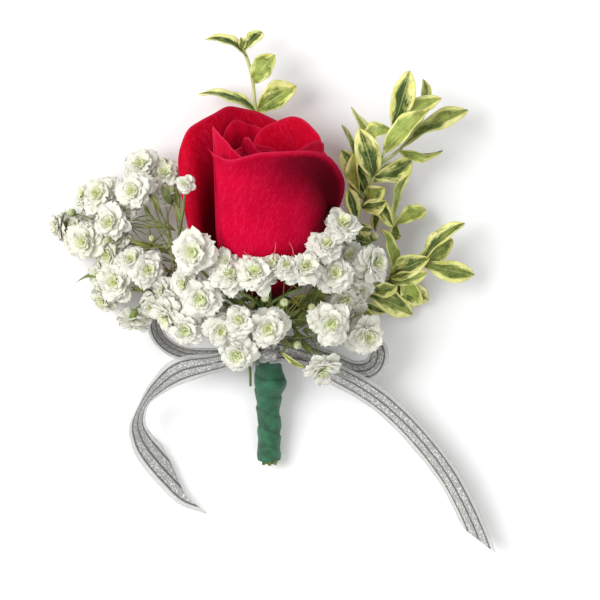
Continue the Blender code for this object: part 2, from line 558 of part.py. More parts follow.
def add_floret(name, pieces, floret, chance):
    """Double floret: two rings of petals, the upper ring turned against the lower one."""
    x, y, z, width, lean, bearing = floret
    facing = Vector((math.sin(math.radians(lean)) * math.cos(math.radians(bearing)),
                     math.sin(math.radians(lean)) * math.sin(math.radians(bearing)),
                     math.cos(math.radians(lean))))
    turn = frame_along(facing, Vector((0.0, 1.0, 0.0)))
    centre = Vector((x, y, z))
    ragged = [chance.uniform(0.0, 0.12) for _ in range(FLORET_COLUMNS * 2)]

    def place(column, row):
        radius, height = FLORET_ROWS[row]
        ring = FLORET_RINGS.get(row, 0)
        notch = FLORET_NOTCH[row] * ((column + ring) % 2)
        if row in FLORET_RINGS:
            notch += ragged[column + ring * FLORET_COLUMNS]
        angle = 2.0 * math.pi * column / FLORET_COLUMNS
        reach = radius * (1.0 - notch) * width
        return centre + turn @ Vector((math.cos(angle) * reach, math.sin(angle) * reach, height * width))

    mapped_sphere(name, pieces, FLORET_COLUMNS, len(FLORET_ROWS) - 1, place)
    return centre - facing * FLORET_FOOT * width, facing


def add_bud(name, pieces, floret):
    """Round unopened bud."""
    x, y, z, width, lean, bearing = floret
    facing = Vector((math.sin(math.radians(lean)) * math.cos(math.radians(bearing)),
                     math.sin(math.radians(lean)) * math.sin(math.radians(bearing)),
                     math.cos(math.radians(lean))))
    turn = frame_along(facing, Vector((0.0, 1.0, 0.0)))
    centre = Vector((x, y, z))

    def place(column, row):
        polar = math.pi * row / 5
        angle = 2.0 * math.pi * column / 6
        reach = math.sin(polar) * width * 0.5
        return centre + turn @ Vector((math.cos(angle) * reach, math.sin(angle) * reach,
                                       -math.cos(polar) * width * 0.6))

    mapped_sphere(name, pieces, 6, 5, place)
    return centre - facing * 0.5 * width, facing


def add_pedicel(name, pieces, foot, facing, paths):
    """Thin stalk that leaves the floret's foot backwards and bends into the nearest stem."""
    best = None
    for path in paths:
        for point in path[2:]:
            reach = point - foot
            cost = reach.length + 1.6 * max(0.0, reach.dot(facing)) + 0.6 * max(0.0, reach.y)
            if best is None or cost < best[0]:
                best = (cost, point)
    end = best[1]
    start = foot + facing * 0.6
    control = foot - facing * 0.45 * (end - foot).length
    points = [start, foot]
    for step in (0.5, 1.0):
        points.append(foot * (1 - step) ** 2 + control * 2 * step * (1 - step) + end * step ** 2)
    add_tube(name, pieces, points, PEDICEL_RADIUS, resolution=0)


def add_leaves(pieces, leaves, paths):
    """Leaves whose bases are drawn to the nearest stem."""
    for index, leaf in enumerate(leaves):
        root = nearest_on(paths, Vector(leaf[0]))
        add_leaf(f"leaf_{index}", pieces, (root, *leaf[1:]))


def build_spray(pieces, routes, florets, leaves, slot, chance):
    paths = add_routes(pieces, routes, slot)
    add_leaves(pieces, leaves, paths)
    for index, floret in enumerate(florets):
        if floret[3] < 4.0:
            foot, facing = add_bud(f"bud_{index}", pieces, floret)
        else:
            foot, facing = add_floret(f"floret_{index}", pieces, floret, chance)
        add_pedicel(f"pedicel_{index}", pieces, foot, facing, paths)


def build_leafy_stem(pieces, routes, leaves, slot):
    paths = add_routes(pieces, routes, slot)
    add_leaves(pieces, leaves, paths)


# ---------------------------------------------------------------- tape and ribbon
def build_tape(pieces):
    """Tube of wound tape: plain bore, and an outside with spiral laps and a fuller middle."""
    columns = 16
    outer_rows = 19
    rows = outer_rows + 5
    start = BINDING_END + BINDING_AXIS * TAPE_CUT_BACK
    across = frame_along(BINDING_AXIS)
    length = (BINDING_TOP - start).length
    bm = bmesh.new()
    bmesh.ops.create_grid(bm, x_segments=columns, y_segments=rows, size=1.0)
    for vertex in bm.verts:
        column = round((vertex.co.x + 1.0) / 2.0 * columns)
        row = round((vertex.co.y + 1.0) / 2.0 * rows) % rows
        turn = 2.0 * math.pi * (column % columns) / columns
        if row < outer_rows:
            along = row / (outer_rows - 1)
            lap = (along * TAPE_LAPS + turn / (2.0 * math.pi)) % 1.0
            bulge = TAPE_BULGE * math.exp(-((along - 0.62) / 0.13) ** 2)
            radius = TAPE_RADIUS + TAPE_STEP * lap + bulge * (1.0 + 0.45 * math.cos(turn))
        else:
            along = 1.0 - (row - outer_rows) / 4.0
            radius = TAPE_BORE
        point = start + BINDING_AXIS * (along * length)
        vertex.co = point + across @ Vector((math.cos(turn) * radius, math.sin(turn) * radius, 0.0))
    bmesh.ops.remove_doubles(bm, verts=bm.verts, dist=0.001)
    bmesh.ops.recalc_face_normals(bm, faces=bm.faces)
    bmesh.ops.triangulate(bm, faces=bm.faces, quad_method="FIXED")
    add_piece(bm, "wound_tape", pieces)


def add_strand(name, pieces, stations, spans=2):
    """Ribbon strand through its stations, cut slanting where little width is left."""
    middles = smooth_path([station[0:3] for station in stations], spans)
    turns = smooth_path([station[3:6] for station in stations], spans)
    last = len(middles) - 1

    def place(u, v):
        index = round(v * last)
        bearing = math.radians(turns[index].x)
        slope = math.radians(turns[index].y)
        width_left = min(max(turns[index].z, 0.05), 1.0)
        across = Vector((math.cos(slope) * math.cos(bearing), math.cos(slope) * math.sin(bearing),
                         math.sin(slope)))
        outer = middles[index] + across * RIBBON_WIDTH * 0.5
        return outer - across * RIBBON_WIDTH * width_left * (1.0 - u)

    piece = mapped_grid(name, pieces, 1, last, place)
    add_wall(piece, RIBBON_WALL)


def build_ribbon(pieces):
    centre = BINDING_END.lerp(BINDING_TOP, 0.9)
    across = frame_along(BINDING_AXIS)

    def band(u, v):
        turn = 2.0 * math.pi * u
        return centre + across @ Vector((math.cos(turn) * BAND_RADIUS, math.sin(turn) * BAND_RADIUS,
                                         BAND_WIDTH * (v - 0.5)))

    def knot(column, row):
        polar = math.pi * row / 6
        turn = 2.0 * math.pi * column / 10
        return KNOT + Vector((math.cos(turn) * math.sin(polar) * KNOT_SIZE.x,
                              math.sin(turn) * math.sin(polar) * KNOT_SIZE.y, -math.cos(polar) * KNOT_SIZE.z))

    ring = mapped_grid("band", pieces, 16, 1, band)
    bm = bmesh.new()
    bm.from_mesh(ring.data)
    bmesh.ops.remove_doubles(bm, verts=bm.verts, dist=0.00001)
    bm.to_mesh(ring.data)
    bm.free()
    add_wall(ring, RIBBON_WALL)
    mapped_sphere("knot", pieces, 10, 6, knot)
    for name, stations in (("left_tail", LEFT_TAIL), ("right_tail", RIGHT_TAIL), ("left_loop", LEFT_LOOP),
                           ("right_loop", RIGHT_LOOP)):
        add_strand(name, pieces, stations)


def main():
    for old in list(bpy.data.objects):
        bpy.data.objects.remove(old)
    scene = bpy.context.scene
    nodes = bpy.data.collections.new("rose_boutonniere")
    pieces = bpy.data.collections.new("pieces")
    cutters = bpy.data.collections.new("cutters")
    for collection in (nodes, pieces, cutters):
        scene.collection.children.link(collection)
    ground = ground_cutter(cutters)
    chance = random.Random(SPRAY_SEED)

    petal_red = make_material("rose petals", (0.62, 0.004, 0.03), 0.55)
    stem_green = make_material("rose green", (0.10, 0.22, 0.06), 0.6)
    floret_white = make_material("gypsophila", (0.85, 0.87, 0.80), 0.7)
    leaf_green = make_material("boxwood", (0.32, 0.42, 0.10), 0.45)
    tape_green = make_material("floral tape", (0.02, 0.16, 0.08), 0.65)
    ribbon_white = make_material("ribbon", (0.80, 0.80, 0.82), 0.4)

    build_bloom(pieces)
    join_node("rose_bloom", pieces, nodes, petal_red, ground)
    build_rose_stem(pieces)
    join_node("rose_stem", pieces, nodes, stem_green)
    build_spray(pieces, LEFT_ROUTES, LEFT_FLORETS, LEFT_LEAVES, 1, chance)
    join_node("gypsophila_left", pieces, nodes, floret_white, ground)
    build_spray(pieces, CENTRE_ROUTES, CENTRE_FLORETS, [], 0, chance)
    join_node("gypsophila_centre", pieces, nodes, floret_white)
    build_spray(pieces, RIGHT_ROUTES, RIGHT_FLORETS, RIGHT_LEAVES, 6, chance)
    join_node("gypsophila_right", pieces, nodes, floret_white)
    build_leafy_stem(pieces, TOP_ROUTES, TOP_LEAVES, 3)
    join_node("boxwood_top", pieces, nodes, leaf_green)
    build_leafy_stem(pieces, UPPER_ROUTES, UPPER_LEAVES, 5)
    join_node("boxwood_upper_right", pieces, nodes, leaf_green)
    build_leafy_stem(pieces, LOWER_ROUTES, LOWER_LEAVES, 4)
    join_node("boxwood_lower_right", pieces, nodes, leaf_green, ground)
    build_tape(pieces)
    join_node("stem_tape", pieces, nodes, tape_green, ground)
    build_ribbon(pieces)
    join_node("ribbon_bow", pieces, nodes, ribbon_white)


main()
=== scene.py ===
import math

import bpy
import numpy as np
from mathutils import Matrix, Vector


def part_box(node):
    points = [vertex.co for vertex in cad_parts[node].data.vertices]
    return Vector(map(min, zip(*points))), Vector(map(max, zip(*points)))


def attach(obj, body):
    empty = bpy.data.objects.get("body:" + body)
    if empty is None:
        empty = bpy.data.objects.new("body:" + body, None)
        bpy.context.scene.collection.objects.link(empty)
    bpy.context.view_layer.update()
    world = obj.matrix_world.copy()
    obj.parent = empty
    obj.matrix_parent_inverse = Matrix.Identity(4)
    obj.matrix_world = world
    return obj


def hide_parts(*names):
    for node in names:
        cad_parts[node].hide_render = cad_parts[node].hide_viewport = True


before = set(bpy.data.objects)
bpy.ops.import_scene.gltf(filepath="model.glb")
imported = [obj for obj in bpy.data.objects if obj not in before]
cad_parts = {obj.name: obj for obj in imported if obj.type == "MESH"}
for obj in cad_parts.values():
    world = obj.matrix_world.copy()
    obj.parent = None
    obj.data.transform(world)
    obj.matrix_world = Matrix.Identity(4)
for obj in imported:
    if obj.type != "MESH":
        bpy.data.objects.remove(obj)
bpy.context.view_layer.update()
mm = 0.001
# the order of the draws decides the shapes
chance = np.random.default_rng(11)

# Design values are in millimetres from a point under the middle of the bloom.
# The bloom's own box in the frame says where that point lies.
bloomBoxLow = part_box("rose_bloom")[0]
bloomLeftEdge = -27.39
bloomLowEdge = -32.62
layoutShift = np.array([bloomBoxLow.x / mm - bloomLeftEdge, bloomBoxLow.y / mm - bloomLowEdge, 0.0])
print("frame loaded, layout shift in mm:", np.round(layoutShift, 2))


# ---- numpy helpers

fullTurn = 2 * np.pi


def smoothPath(points, steps):
    # Catmull-Rom: each span is a cubic through its two ends with slopes taken from their neighbours
    p = np.asarray(points, float)
    p = np.vstack([2 * p[0] - p[1], p, 2 * p[-1] - p[-2]])
    t = (np.arange(steps) / steps)[None, :, None]
    a, b, c, d = p[:-3, None], p[1:-2, None], p[2:-1, None], p[3:, None]
    curve = 0.5 * (2 * b + (c - a) * t + (2 * a - 5 * b + 4 * c - d) * t ** 2
                   + (3 * b - a - 3 * c + d) * t ** 3)
    return np.vstack([curve.reshape(-1, p.shape[1]), p[-2]])


def runLength(path):
    # distance run along a path at each of its points
    return np.concatenate([[0], np.cumsum(np.linalg.norm(np.diff(path, axis=0), axis=1))])


def roundAngles(count):
    # even steps once round, in radians, without the last, which is the first again
    return np.linspace(0, fullTurn, count, endpoint=False)


def ease(x):
    x = np.clip(x, 0, 1)
    return x * x * (3 - 2 * x)


def fade(x, low, high):
    # eases from 0 at low to 1 at high
    return ease((x - low) / (high - low))


def hump(x, middle, width):
    # bell of height 1: e ** -((x - middle) / width) ** 2
    return np.exp(-((x - middle) / width) ** 2)


def unit(v):
    return v / np.maximum(np.linalg.norm(v, axis=-1, keepdims=True), 1e-9)


def turnTo(direction, about=(0.0, 0.0, 1.0)):
    # rows x, y, z of a frame whose z is the direction and whose y leans towards about
    z = unit(np.asarray(direction, float))
    x = unit(np.cross(np.broadcast_to(about, z.shape), z))
    return np.stack([x, np.cross(z, x), z], axis=-2)


def placed(local, turns, middles):
    # every form from its own x, y, z to its place; the rows of its turn say where x, y and z point
    shape = (len(middles),) + (1,) * (local.ndim - 2) + (3,)
    return np.einsum("f...j,fji->f...i", local, turns) + middles.reshape(shape)


def mapOf(u, v):
    # surface map from its two coordinates
    return np.stack(np.broadcast_arrays(u, v), axis=-1)


def newStore():
    return dict(points=[], faces=[], uv=[], tintAndShade=[], side=[], count=0)


def addPoints(store, points, uv, tintAndShade, side):
    first = store["count"]
    store["points"].append(points.reshape(-1, 3))
    store["uv"].append(np.broadcast_to(uv, points.shape[:-1] + (2,)).reshape(-1, 2))
    store["tintAndShade"].append(np.broadcast_to(tintAndShade, points.shape[:-1]).reshape(-1))
    store["side"].append(np.broadcast_to(side, points.shape[:-1]).reshape(-1))
    store["count"] += points[..., 0].size
    return first + np.arange(points[..., 0].size).reshape(points.shape[:-1])


def quads(grid):
    # corner indices of every cell of index grids shaped (pieces, rows, columns)
    cell = np.stack([grid[:, :-1, :-1], grid[:, :-1, 1:], grid[:, 1:, 1:], grid[:, 1:, :-1]], axis=-1)
    return cell.reshape(-1, 4)


def rimOf(grid):
    # once round the outer edge of each index grid
    return np.concatenate([grid[:, 0, :], grid[:, 1:, -1], grid[:, -1, -2::-1], grid[:, -2:0:-1, 0]], axis=1)


def addBlades(store, points, thickness, uv, tintAndShade=0.0, backShade=None):
    # thin closed blades from middle surfaces shaped (pieces, rows, columns, 3):
    # the surface is moved half its thickness to each side and the rims are joined
    normal = unit(np.cross(np.gradient(points, axis=2), np.gradient(points, axis=1)))
    half = np.broadcast_to(thickness, points.shape[:-1])[..., None] * 0.5
    top = addPoints(store, points + normal * half, uv, tintAndShade, 0.0)
    # the back face can carry a painted shade of its own, as the rose's outside does
    low = addPoints(store, points - normal * half, uv, tintAndShade if backShade is None else backShade, 1.0)
    rimTop, rimLow = rimOf(top), rimOf(low)
    nextTop, nextLow = np.roll(rimTop, -1, axis=1), np.roll(rimLow, -1, axis=1)
    edge = np.stack([rimTop, rimLow, nextLow, nextTop], axis=-1).reshape(-1, 4)
    store["faces"] += [quads(top), quads(low)[:, ::-1], edge]


def addRings(store, points, uv, tintAndShade=0.0, capped=True):
    # round forms shaped (pieces, rows, columns, 3): each row is a closed ring; the first and the last ring
    # are capped, or joined to each other where the form has a bore
    index = addPoints(store, points, uv, tintAndShade, 0.0)
    grid = np.concatenate([index, index[:, :, :1]], axis=2)
    if capped:
        store["faces"] += [quads(grid), index[:, 0, ::-1], index[:, -1, :]]
    else:
        store["faces"].append(quads(np.concatenate([grid, grid[:, :1]], axis=1)))


def addTube(store, path, radius, sides=8, tintAndShade=0.0):
    # round stem: a ring of the given radius square to the path at each of its points, ends closed
    flattest = np.eye(3)[np.argmin(np.abs(unit(path[-1] - path[0])))]
    turn = turnTo(unit(np.gradient(path, axis=0)), flattest)
    angle = roundAngles(sides)[None, :, None]
    ring = turn[:, None, 0] * np.cos(angle) + turn[:, None, 1] * np.sin(angle)
    points = path[:, None] + ring * np.broadcast_to(radius, len(path))[:, None, None]
    uv = mapOf(angle[..., 0] / fullTurn, runLength(path)[:, None])
    addRings(store, points[None], uv[None], tintAndShade)


def makePiece(name, store, material, nodes=()):
    # numpy arrays straight into a mesh, in metres and in the frame's place
    points = np.concatenate(store["points"]) + layoutShift
    # what would sink into the table lies on it: z becomes half of z plus the root of z squared plus a little
    little = 0.01
    points[:, 2] = 0.5 * (points[:, 2] + np.sqrt(points[:, 2] ** 2 + little))
    loops = np.concatenate([f.ravel() for f in store["faces"]]).astype(np.int32)
    sizes = np.concatenate([np.full(len(f), f.shape[1]) for f in store["faces"]])
    starts = np.concatenate([[0], np.cumsum(sizes)[:-1]]).astype(np.int32)
    mesh = bpy.data.meshes.new(name)
    mesh.vertices.add(len(points))
    mesh.vertices.foreach_set("co", (points * mm).astype(np.float32).ravel())
    mesh.loops.add(len(loops))
    mesh.loops.foreach_set("vertex_index", loops)
    mesh.polygons.add(len(sizes))
    mesh.polygons.foreach_set("loop_start", starts)
    mesh.update(calc_edges=True)
    mesh.validate()
    layer = mesh.uv_layers.new(name="surface")
    layer.data.foreach_set("uv", np.concatenate(store["uv"])[loops].astype(np.float32).ravel())
    # the tint attribute carries painted shade on the rose, the tape and the lower flowers, and real tints of
    # leaves, stems, buds and ageing flowers
    for key in ("tintAndShade", "side"):
        attribute = mesh.attributes.new(key, "FLOAT", "POINT")
        attribute.data.foreach_set("value", np.concatenate(store[key]).astype(np.float32))
    mesh.shade_smooth()
    piece = bpy.data.objects.new(name, mesh)
    bpy.context.scene.collection.objects.link(piece)
    mesh.materials.append(material)
    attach(piece, "root")
    if nodes:
        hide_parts(*nodes)
    print("made", name, "with", len(sizes), "faces")
    return piece


# ---- materials

def addNode(tree, kind, values=(), **settings):
    node = tree.nodes.new(kind)
    for key, value in settings.items():
        setattr(node, key, value)
    for key, value in dict(values).items():
        node.inputs[key].default_value = value
    return node


def startMaterial(name, **values):
    material = bpy.data.materials.new(name)
    material.use_nodes = True
    tree = material.node_tree
    shader = tree.nodes["Principled BSDF"]
    for key, value in values.items():
        shader.inputs[key].default_value = value
    return material, tree, shader


def mathNode(tree, operation, first, second=None, clamp=False):
    node = addNode(tree, "ShaderNodeMath", operation=operation, use_clamp=clamp)
    for socket, value in zip(node.inputs, (first, second)):
        if isinstance(value, (int, float)):
            socket.default_value = value
        elif value is not None:
            tree.links.new(value, socket)
    return node.outputs[0]


def plus(tree, first, second, clamp=False):
    return mathNode(tree, "ADD", first, second, clamp)


def minus(tree, first, second, clamp=False):
    return mathNode(tree, "SUBTRACT", first, second, clamp)


def times(tree, first, second, clamp=False):
    return mathNode(tree, "MULTIPLY", first, second, clamp)


def weighted(tree, *parts, start=0.0, clamp=False):
    # start plus every part times its share
    total = start
    for part, share in parts:
        total = plus(tree, total, times(tree, part, share), clamp)
    return total


def climb(tree, value, start, slope):
    # 0 up to start, then rising with the slope, 1 at most
    return times(tree, minus(tree, value, start), slope, clamp=True)


def mixColour(tree, share, first, second):
    node = addNode(tree, "ShaderNodeMix", data_type="RGBA")
    for key, value in (("Factor_Float", share), ("A_Color", first), ("B_Color", second)):
        socket = next(s for s in node.inputs if s.identifier == key)
        if isinstance(value, tuple):
            socket.default_value = (*value, 1.0)
        else:
            tree.links.new(value, socket)
    return next(s for s in node.outputs if s.identifier == "Result_Color")


def rampNode(tree, value, stops):
    node = addNode(tree, "ShaderNodeValToRGB")
    ramp = node.color_ramp
    while len(ramp.elements) < len(stops):
        ramp.elements.new(0.5)
    for element, (place, colour) in zip(ramp.elements, stops):
        element.position = place
        element.color = (*colour, 1.0) if isinstance(colour, tuple) else (colour, colour, colour, 1.0)
    tree.links.new(value, node.inputs[0])
    return node.outputs[0]


def surfaceParts(tree):
    # u and v of the surface map
    surface = addNode(tree, "ShaderNodeUVMap", uv_map="surface")
    parts = tree.nodes.new("ShaderNodeSeparateXYZ")
    tree.links.new(surface.outputs["UV"], parts.inputs[0])
    return parts.outputs["X"], parts.outputs["Y"]


def textureOn(tree, kind, values, *parts):
    # a texture on coordinates of its own, whose x, y and z are the parts
    texture = addNode(tree, kind, values)
    joined = tree.nodes.new("ShaderNodeCombineXYZ")
    for socket, part in zip(joined.inputs, parts):
        tree.links.new(part, socket)
    tree.links.new(joined.outputs[0], texture.inputs["Vector"])
    return texture.outputs


def newGroup(name, inputs, outputs):
    group = bpy.data.node_groups.new(name, "ShaderNodeTree")
    for key, value in inputs.items():
        socket = group.interface.new_socket(key, in_out="INPUT", socket_type="NodeSocketFloat")
        socket.default_value = value
    for key in outputs:
        group.interface.new_socket(key, in_out="OUTPUT", socket_type="NodeSocketFloat")
    return group, group.nodes.new("NodeGroupInput").outputs, group.nodes.new("NodeGroupOutput").inputs


def mottleGroup():
    # cloudy colour change: two scales of noise on the object's own coordinates, mixed into one mask
    look = dict(finer=7.0, broad=0.7, fine=0.3)
    group, entry, leave = newGroup("softMottle", dict(Scale=200.0, Contrast=1.0), ["Mask", "Fine"])
    place = group.nodes.new("ShaderNodeTexCoord").outputs["Object"]
    broad = addNode(group, "ShaderNodeTexNoise", {"Detail": 3.0, "Roughness": 0.55})
    fine = addNode(group, "ShaderNodeTexNoise", {"Detail": 4.0, "Roughness": 0.6})
    group.links.new(place, broad.inputs["Vector"])
    group.links.new(place, fine.inputs["Vector"])
    group.links.new(entry["Scale"], broad.inputs["Scale"])
    group.links.new(times(group, entry["Scale"], look["finer"]), fine.inputs["Scale"])
    blend = weighted(group, (broad.outputs["Fac"], look["broad"]), (fine.outputs["Fac"], look["fine"]))
    spread = times(group, minus(group, blend, 0.5), entry["Contrast"])
    group.links.new(plus(group, spread, 0.5, clamp=True), leave["Mask"])
    group.links.new(fine.outputs["Fac"], leave["Fine"])
    return group


def veinGroup():
    # fine veins that run along a blade: noise stretched along v of the surface map, sharpened to lines
    inputs = dict(Across=30.0, Along=1.5, Slant=0.0, Sharpness=2.0)
    group, entry, leave = newGroup("bladeVeins", inputs, ["Veins"])
    across, along = surfaceParts(group)
    sideways = plus(group, times(group, across, entry["Across"]), times(group, along, entry["Slant"]))
    values = {"Scale": 1.0, "Detail": 2.0, "Roughness": 0.5, "Distortion": 0.8}
    noise = textureOn(group, "ShaderNodeTexNoise", values, sideways, times(group, along, entry["Along"]))
    ridge = mathNode(group, "ABSOLUTE", minus(group, noise["Fac"], 0.5))
    line = minus(group, 1.0, times(group, ridge, 6.0), clamp=True)
    group.links.new(mathNode(group, "POWER", line, entry["Sharpness"]), leave["Veins"])
    return group


mottle = mottleGroup()
veins = veinGroup()


def placeGroup(tree, group, **values):
    node = addNode(tree, "ShaderNodeGroup", node_tree=group)
    for key, value in values.items():
        node.inputs[key].default_value = value
    return node.outputs


def readAttribute(tree, name):
    return addNode(tree, "ShaderNodeAttribute", attribute_name=name).outputs["Fac"]


def addBump(tree, shader, height, distance, strength):
    bump = addNode(tree, "ShaderNodeBump", {"Distance": distance, "Strength": strength})
    tree.links.new(height, bump.inputs["Height"])
    tree.links.new(bump.outputs["Normal"], shader.inputs["Normal"])


def petalMaterial():
    # velvet petals: pure red inside, crimson outside, painted shade that goes near black where the tint
    # attribute falls to 0, fine wavy veins and a thin paler rim that is a painted highlight
    look = dict(inside=(0.53, 0.0003, 0.016), outside=(0.53, 0.0004, 0.027), shadeRed=(0.028, 0.0, 0.0020),
                rim=(0.64, 0.045, 0.13), vein=(0.84, 0.028, 0.13), plain=0.78, cloud=0.36, veinShare=0.25,
                rimHighlightStart=0.978, rimHighlightSlope=40.0, rimHighlightShare=0.38)
    material, tree, shader = startMaterial("rosePetal", **{
        "Roughness": 0.6, "Specular IOR Level": 0.03, "Sheen Weight": 0.04, "Sheen Roughness": 0.5,
        "Sheen Tint": (1.0, 0.08, 0.25, 1.0), "Subsurface Weight": 0.12,
        "Subsurface Radius": (1.0, 0.04, 0.12), "Subsurface Scale": 0.0015})
    cloud = placeGroup(tree, mottle, Scale=110.0, Contrast=1.5)
    vein = placeGroup(tree, veins, Across=40.0, Along=12.0, Slant=16.0, Sharpness=5.0)["Veins"]
    face = mixColour(tree, readAttribute(tree, "side"), look["inside"], look["outside"])
    # painted shade: the tint attribute darkens hollows, hidden parts and the side turned from the lamp to
    # near black
    shade = weighted(tree, (cloud["Mask"], look["cloud"]), start=look["plain"])
    shade = times(tree, shade, readAttribute(tree, "tintAndShade"), clamp=True)
    colour = mixColour(tree, shade, look["shadeRed"], face)
    veinShare = times(tree, vein, times(tree, shade, look["veinShare"]))
    colour = mixColour(tree, veinShare, colour, look["vein"])
    # painted highlight: a pale line along the rim, dimmed where the painted shade is dark
    rim = climb(tree, surfaceParts(tree)[1], look["rimHighlightStart"], look["rimHighlightSlope"])
    rimHighlightShare = times(tree, rim, times(tree, shade, look["rimHighlightShare"]))
    colour = mixColour(tree, rimHighlightShare, colour, look["rim"])
    tree.links.new(colour, shader.inputs["Base Color"])
    tree.links.new(weighted(tree, (cloud["Fine"], 0.16), start=0.52), shader.inputs["Roughness"])
    addBump(tree, shader, weighted(tree, (vein, 0.6), (cloud["Fine"], 0.4)), 0.0001, 0.6)
    return material


def floretMaterial():
    # white petals that yellow with age and with painted shade that makes lower flowers creamier, and turn
    # yellow-green towards the heart of the flower; buds carry a tint near 1 and are green all over
    look = dict(white=(0.86, 0.86, 0.77), cream=(0.66, 0.63, 0.42), heart=(0.64, 0.73, 0.24),
                bud=(0.44, 0.50, 0.18), ageAndShade=1.6, budStart=0.66, budSlope=5.0,
                glow=[(0.05, 0.95), (0.22, 0.5), (0.46, 0.0)])
    material, tree, shader = startMaterial("gypsophilaPetal", **{
        "Roughness": 0.55, "Specular IOR Level": 0.25, "Sheen Weight": 0.35, "Sheen Roughness": 0.6,
        "Subsurface Weight": 0.2, "Subsurface Radius": (1.0, 1.0, 1.0), "Subsurface Scale": 0.0005})
    cloud = placeGroup(tree, mottle, Scale=260.0, Contrast=1.6)["Mask"]
    vein = placeGroup(tree, veins, Across=9.0, Along=1.0, Sharpness=1.5)["Veins"]
    tintAndShade = readAttribute(tree, "tintAndShade")
    # the age value mixes random ageing with painted shade on the lower flowers; both turn the petals cream
    ageAndShade = times(tree, times(tree, cloud, tintAndShade), look["ageAndShade"], clamp=True)
    colour = mixColour(tree, ageAndShade, look["white"], look["cream"])
    colour = mixColour(tree, rampNode(tree, surfaceParts(tree)[1], look["glow"]), colour, look["heart"])
    colour = mixColour(tree, climb(tree, tintAndShade, look["budStart"], look["budSlope"]), colour, look["bud"])
    tree.links.new(colour, shader.inputs["Base Color"])
    addBump(tree, shader, vein, 0.00008, 0.8)
    return material


def greenMaterial(name, light, dark, warm):
    # stems and sepals: two greens in clouds, turned towards the warm colour by the tint attribute
    material, tree, shader = startMaterial(name, **{"Roughness": 0.5, "Specular IOR Level": 0.4})
    cloud = placeGroup(tree, mottle, Scale=160.0, Contrast=2.2)
    colour = mixColour(tree, cloud["Mask"], dark, light)
    colour = mixColour(tree, readAttribute(tree, "tintAndShade"), colour, warm)
    tree.links.new(colour, shader.inputs["Base Color"])
    addBump(tree, shader, cloud["Fine"], 0.0001, 0.5)
    return material


def boxwoodMaterial():
    # variegated leaf: a ragged cream margin that widens towards the tip round a grey-green heart with dark
    # patches, a pale midrib, warm tips and an underside painted dark olive as shade; the tint attribute
    # varies leaf by leaf
    look = dict(margin=(0.95, 0.92, 0.42), lime=(0.62, 0.64, 0.13), tip=(0.90, 0.64, 0.10),
                light=(0.36, 0.44, 0.085), rib=(0.66, 0.67, 0.24), dark=(0.022, 0.060, 0.005),
                under=(0.085, 0.095, 0.010), vein=(0.52, 0.57, 0.15), ragged=1.9, widenFrom=0.6, widen=1.1,
                perLeaf=0.24, stops=[(0.42, 0.0), (0.52, 0.42), (0.62, 0.5), (0.70, 1.0)], ribSlope=14.0,
                ribShare=0.5, veinShare=0.14, warmStart=0.84, warmSlope=5.0, underShare=0.78)
    material, tree, shader = startMaterial("boxwoodLeaf", **{
        "Roughness": 0.42, "Specular IOR Level": 0.28, "Coat Weight": 0.05, "Coat Roughness": 0.3})
    cloud = placeGroup(tree, mottle, Scale=240.0, Contrast=3.6)["Mask"]
    vein = placeGroup(tree, veins, Across=22.0, Along=3.0, Sharpness=2.0)["Veins"]
    across, along = surfaceParts(tree)
    tintAndShade = readAttribute(tree, "tintAndShade")
    offset = mathNode(tree, "ABSOLUTE", minus(tree, times(tree, across, 2.0), 1.0))
    patch = textureOn(tree, "ShaderNodeTexNoise", {"Scale": 1.0, "Detail": 3.0, "Roughness": 0.6},
                      times(tree, across, 4.0), times(tree, along, 2.6), times(tree, tintAndShade, 37.0))
    edge = plus(tree, offset, times(tree, minus(tree, patch["Fac"], 0.5), look["ragged"]))
    wider = times(tree, minus(tree, along, look["widenFrom"]), look["widen"])
    edge = plus(tree, edge, mathNode(tree, "MAXIMUM", wider, 0.0))
    edge = minus(tree, edge, times(tree, tintAndShade, look["perLeaf"]))
    green = weighted(tree, (cloud, 0.6), (tintAndShade, 0.55))
    green = rampNode(tree, green, [(0.32, look["dark"]), (0.88, look["light"])])
    rib = minus(tree, 1.0, times(tree, offset, look["ribSlope"]), clamp=True)
    green = mixColour(tree, times(tree, rib, look["ribShare"]), green, look["rib"])
    green = mixColour(tree, times(tree, vein, look["veinShare"]), green, look["vein"])
    pale = mixColour(tree, cloud, look["lime"], look["margin"])
    warm = climb(tree, along, look["warmStart"], look["warmSlope"])
    pale = mixColour(tree, times(tree, warm, tintAndShade), pale, look["tip"])
    colour = mixColour(tree, rampNode(tree, edge, look["stops"]), green, pale)
    # painted shade: the back face of each leaf is painted dark olive
    back = times(tree, readAttribute(tree, "side"), look["underShare"])
    colour = mixColour(tree, back, colour, look["under"])
    tree.links.new(colour, shader.inputs["Base Color"])
    addBump(tree, shader, weighted(tree, (vein, 0.5), (rib, 1.0)), 0.00015, 0.6)
    return material


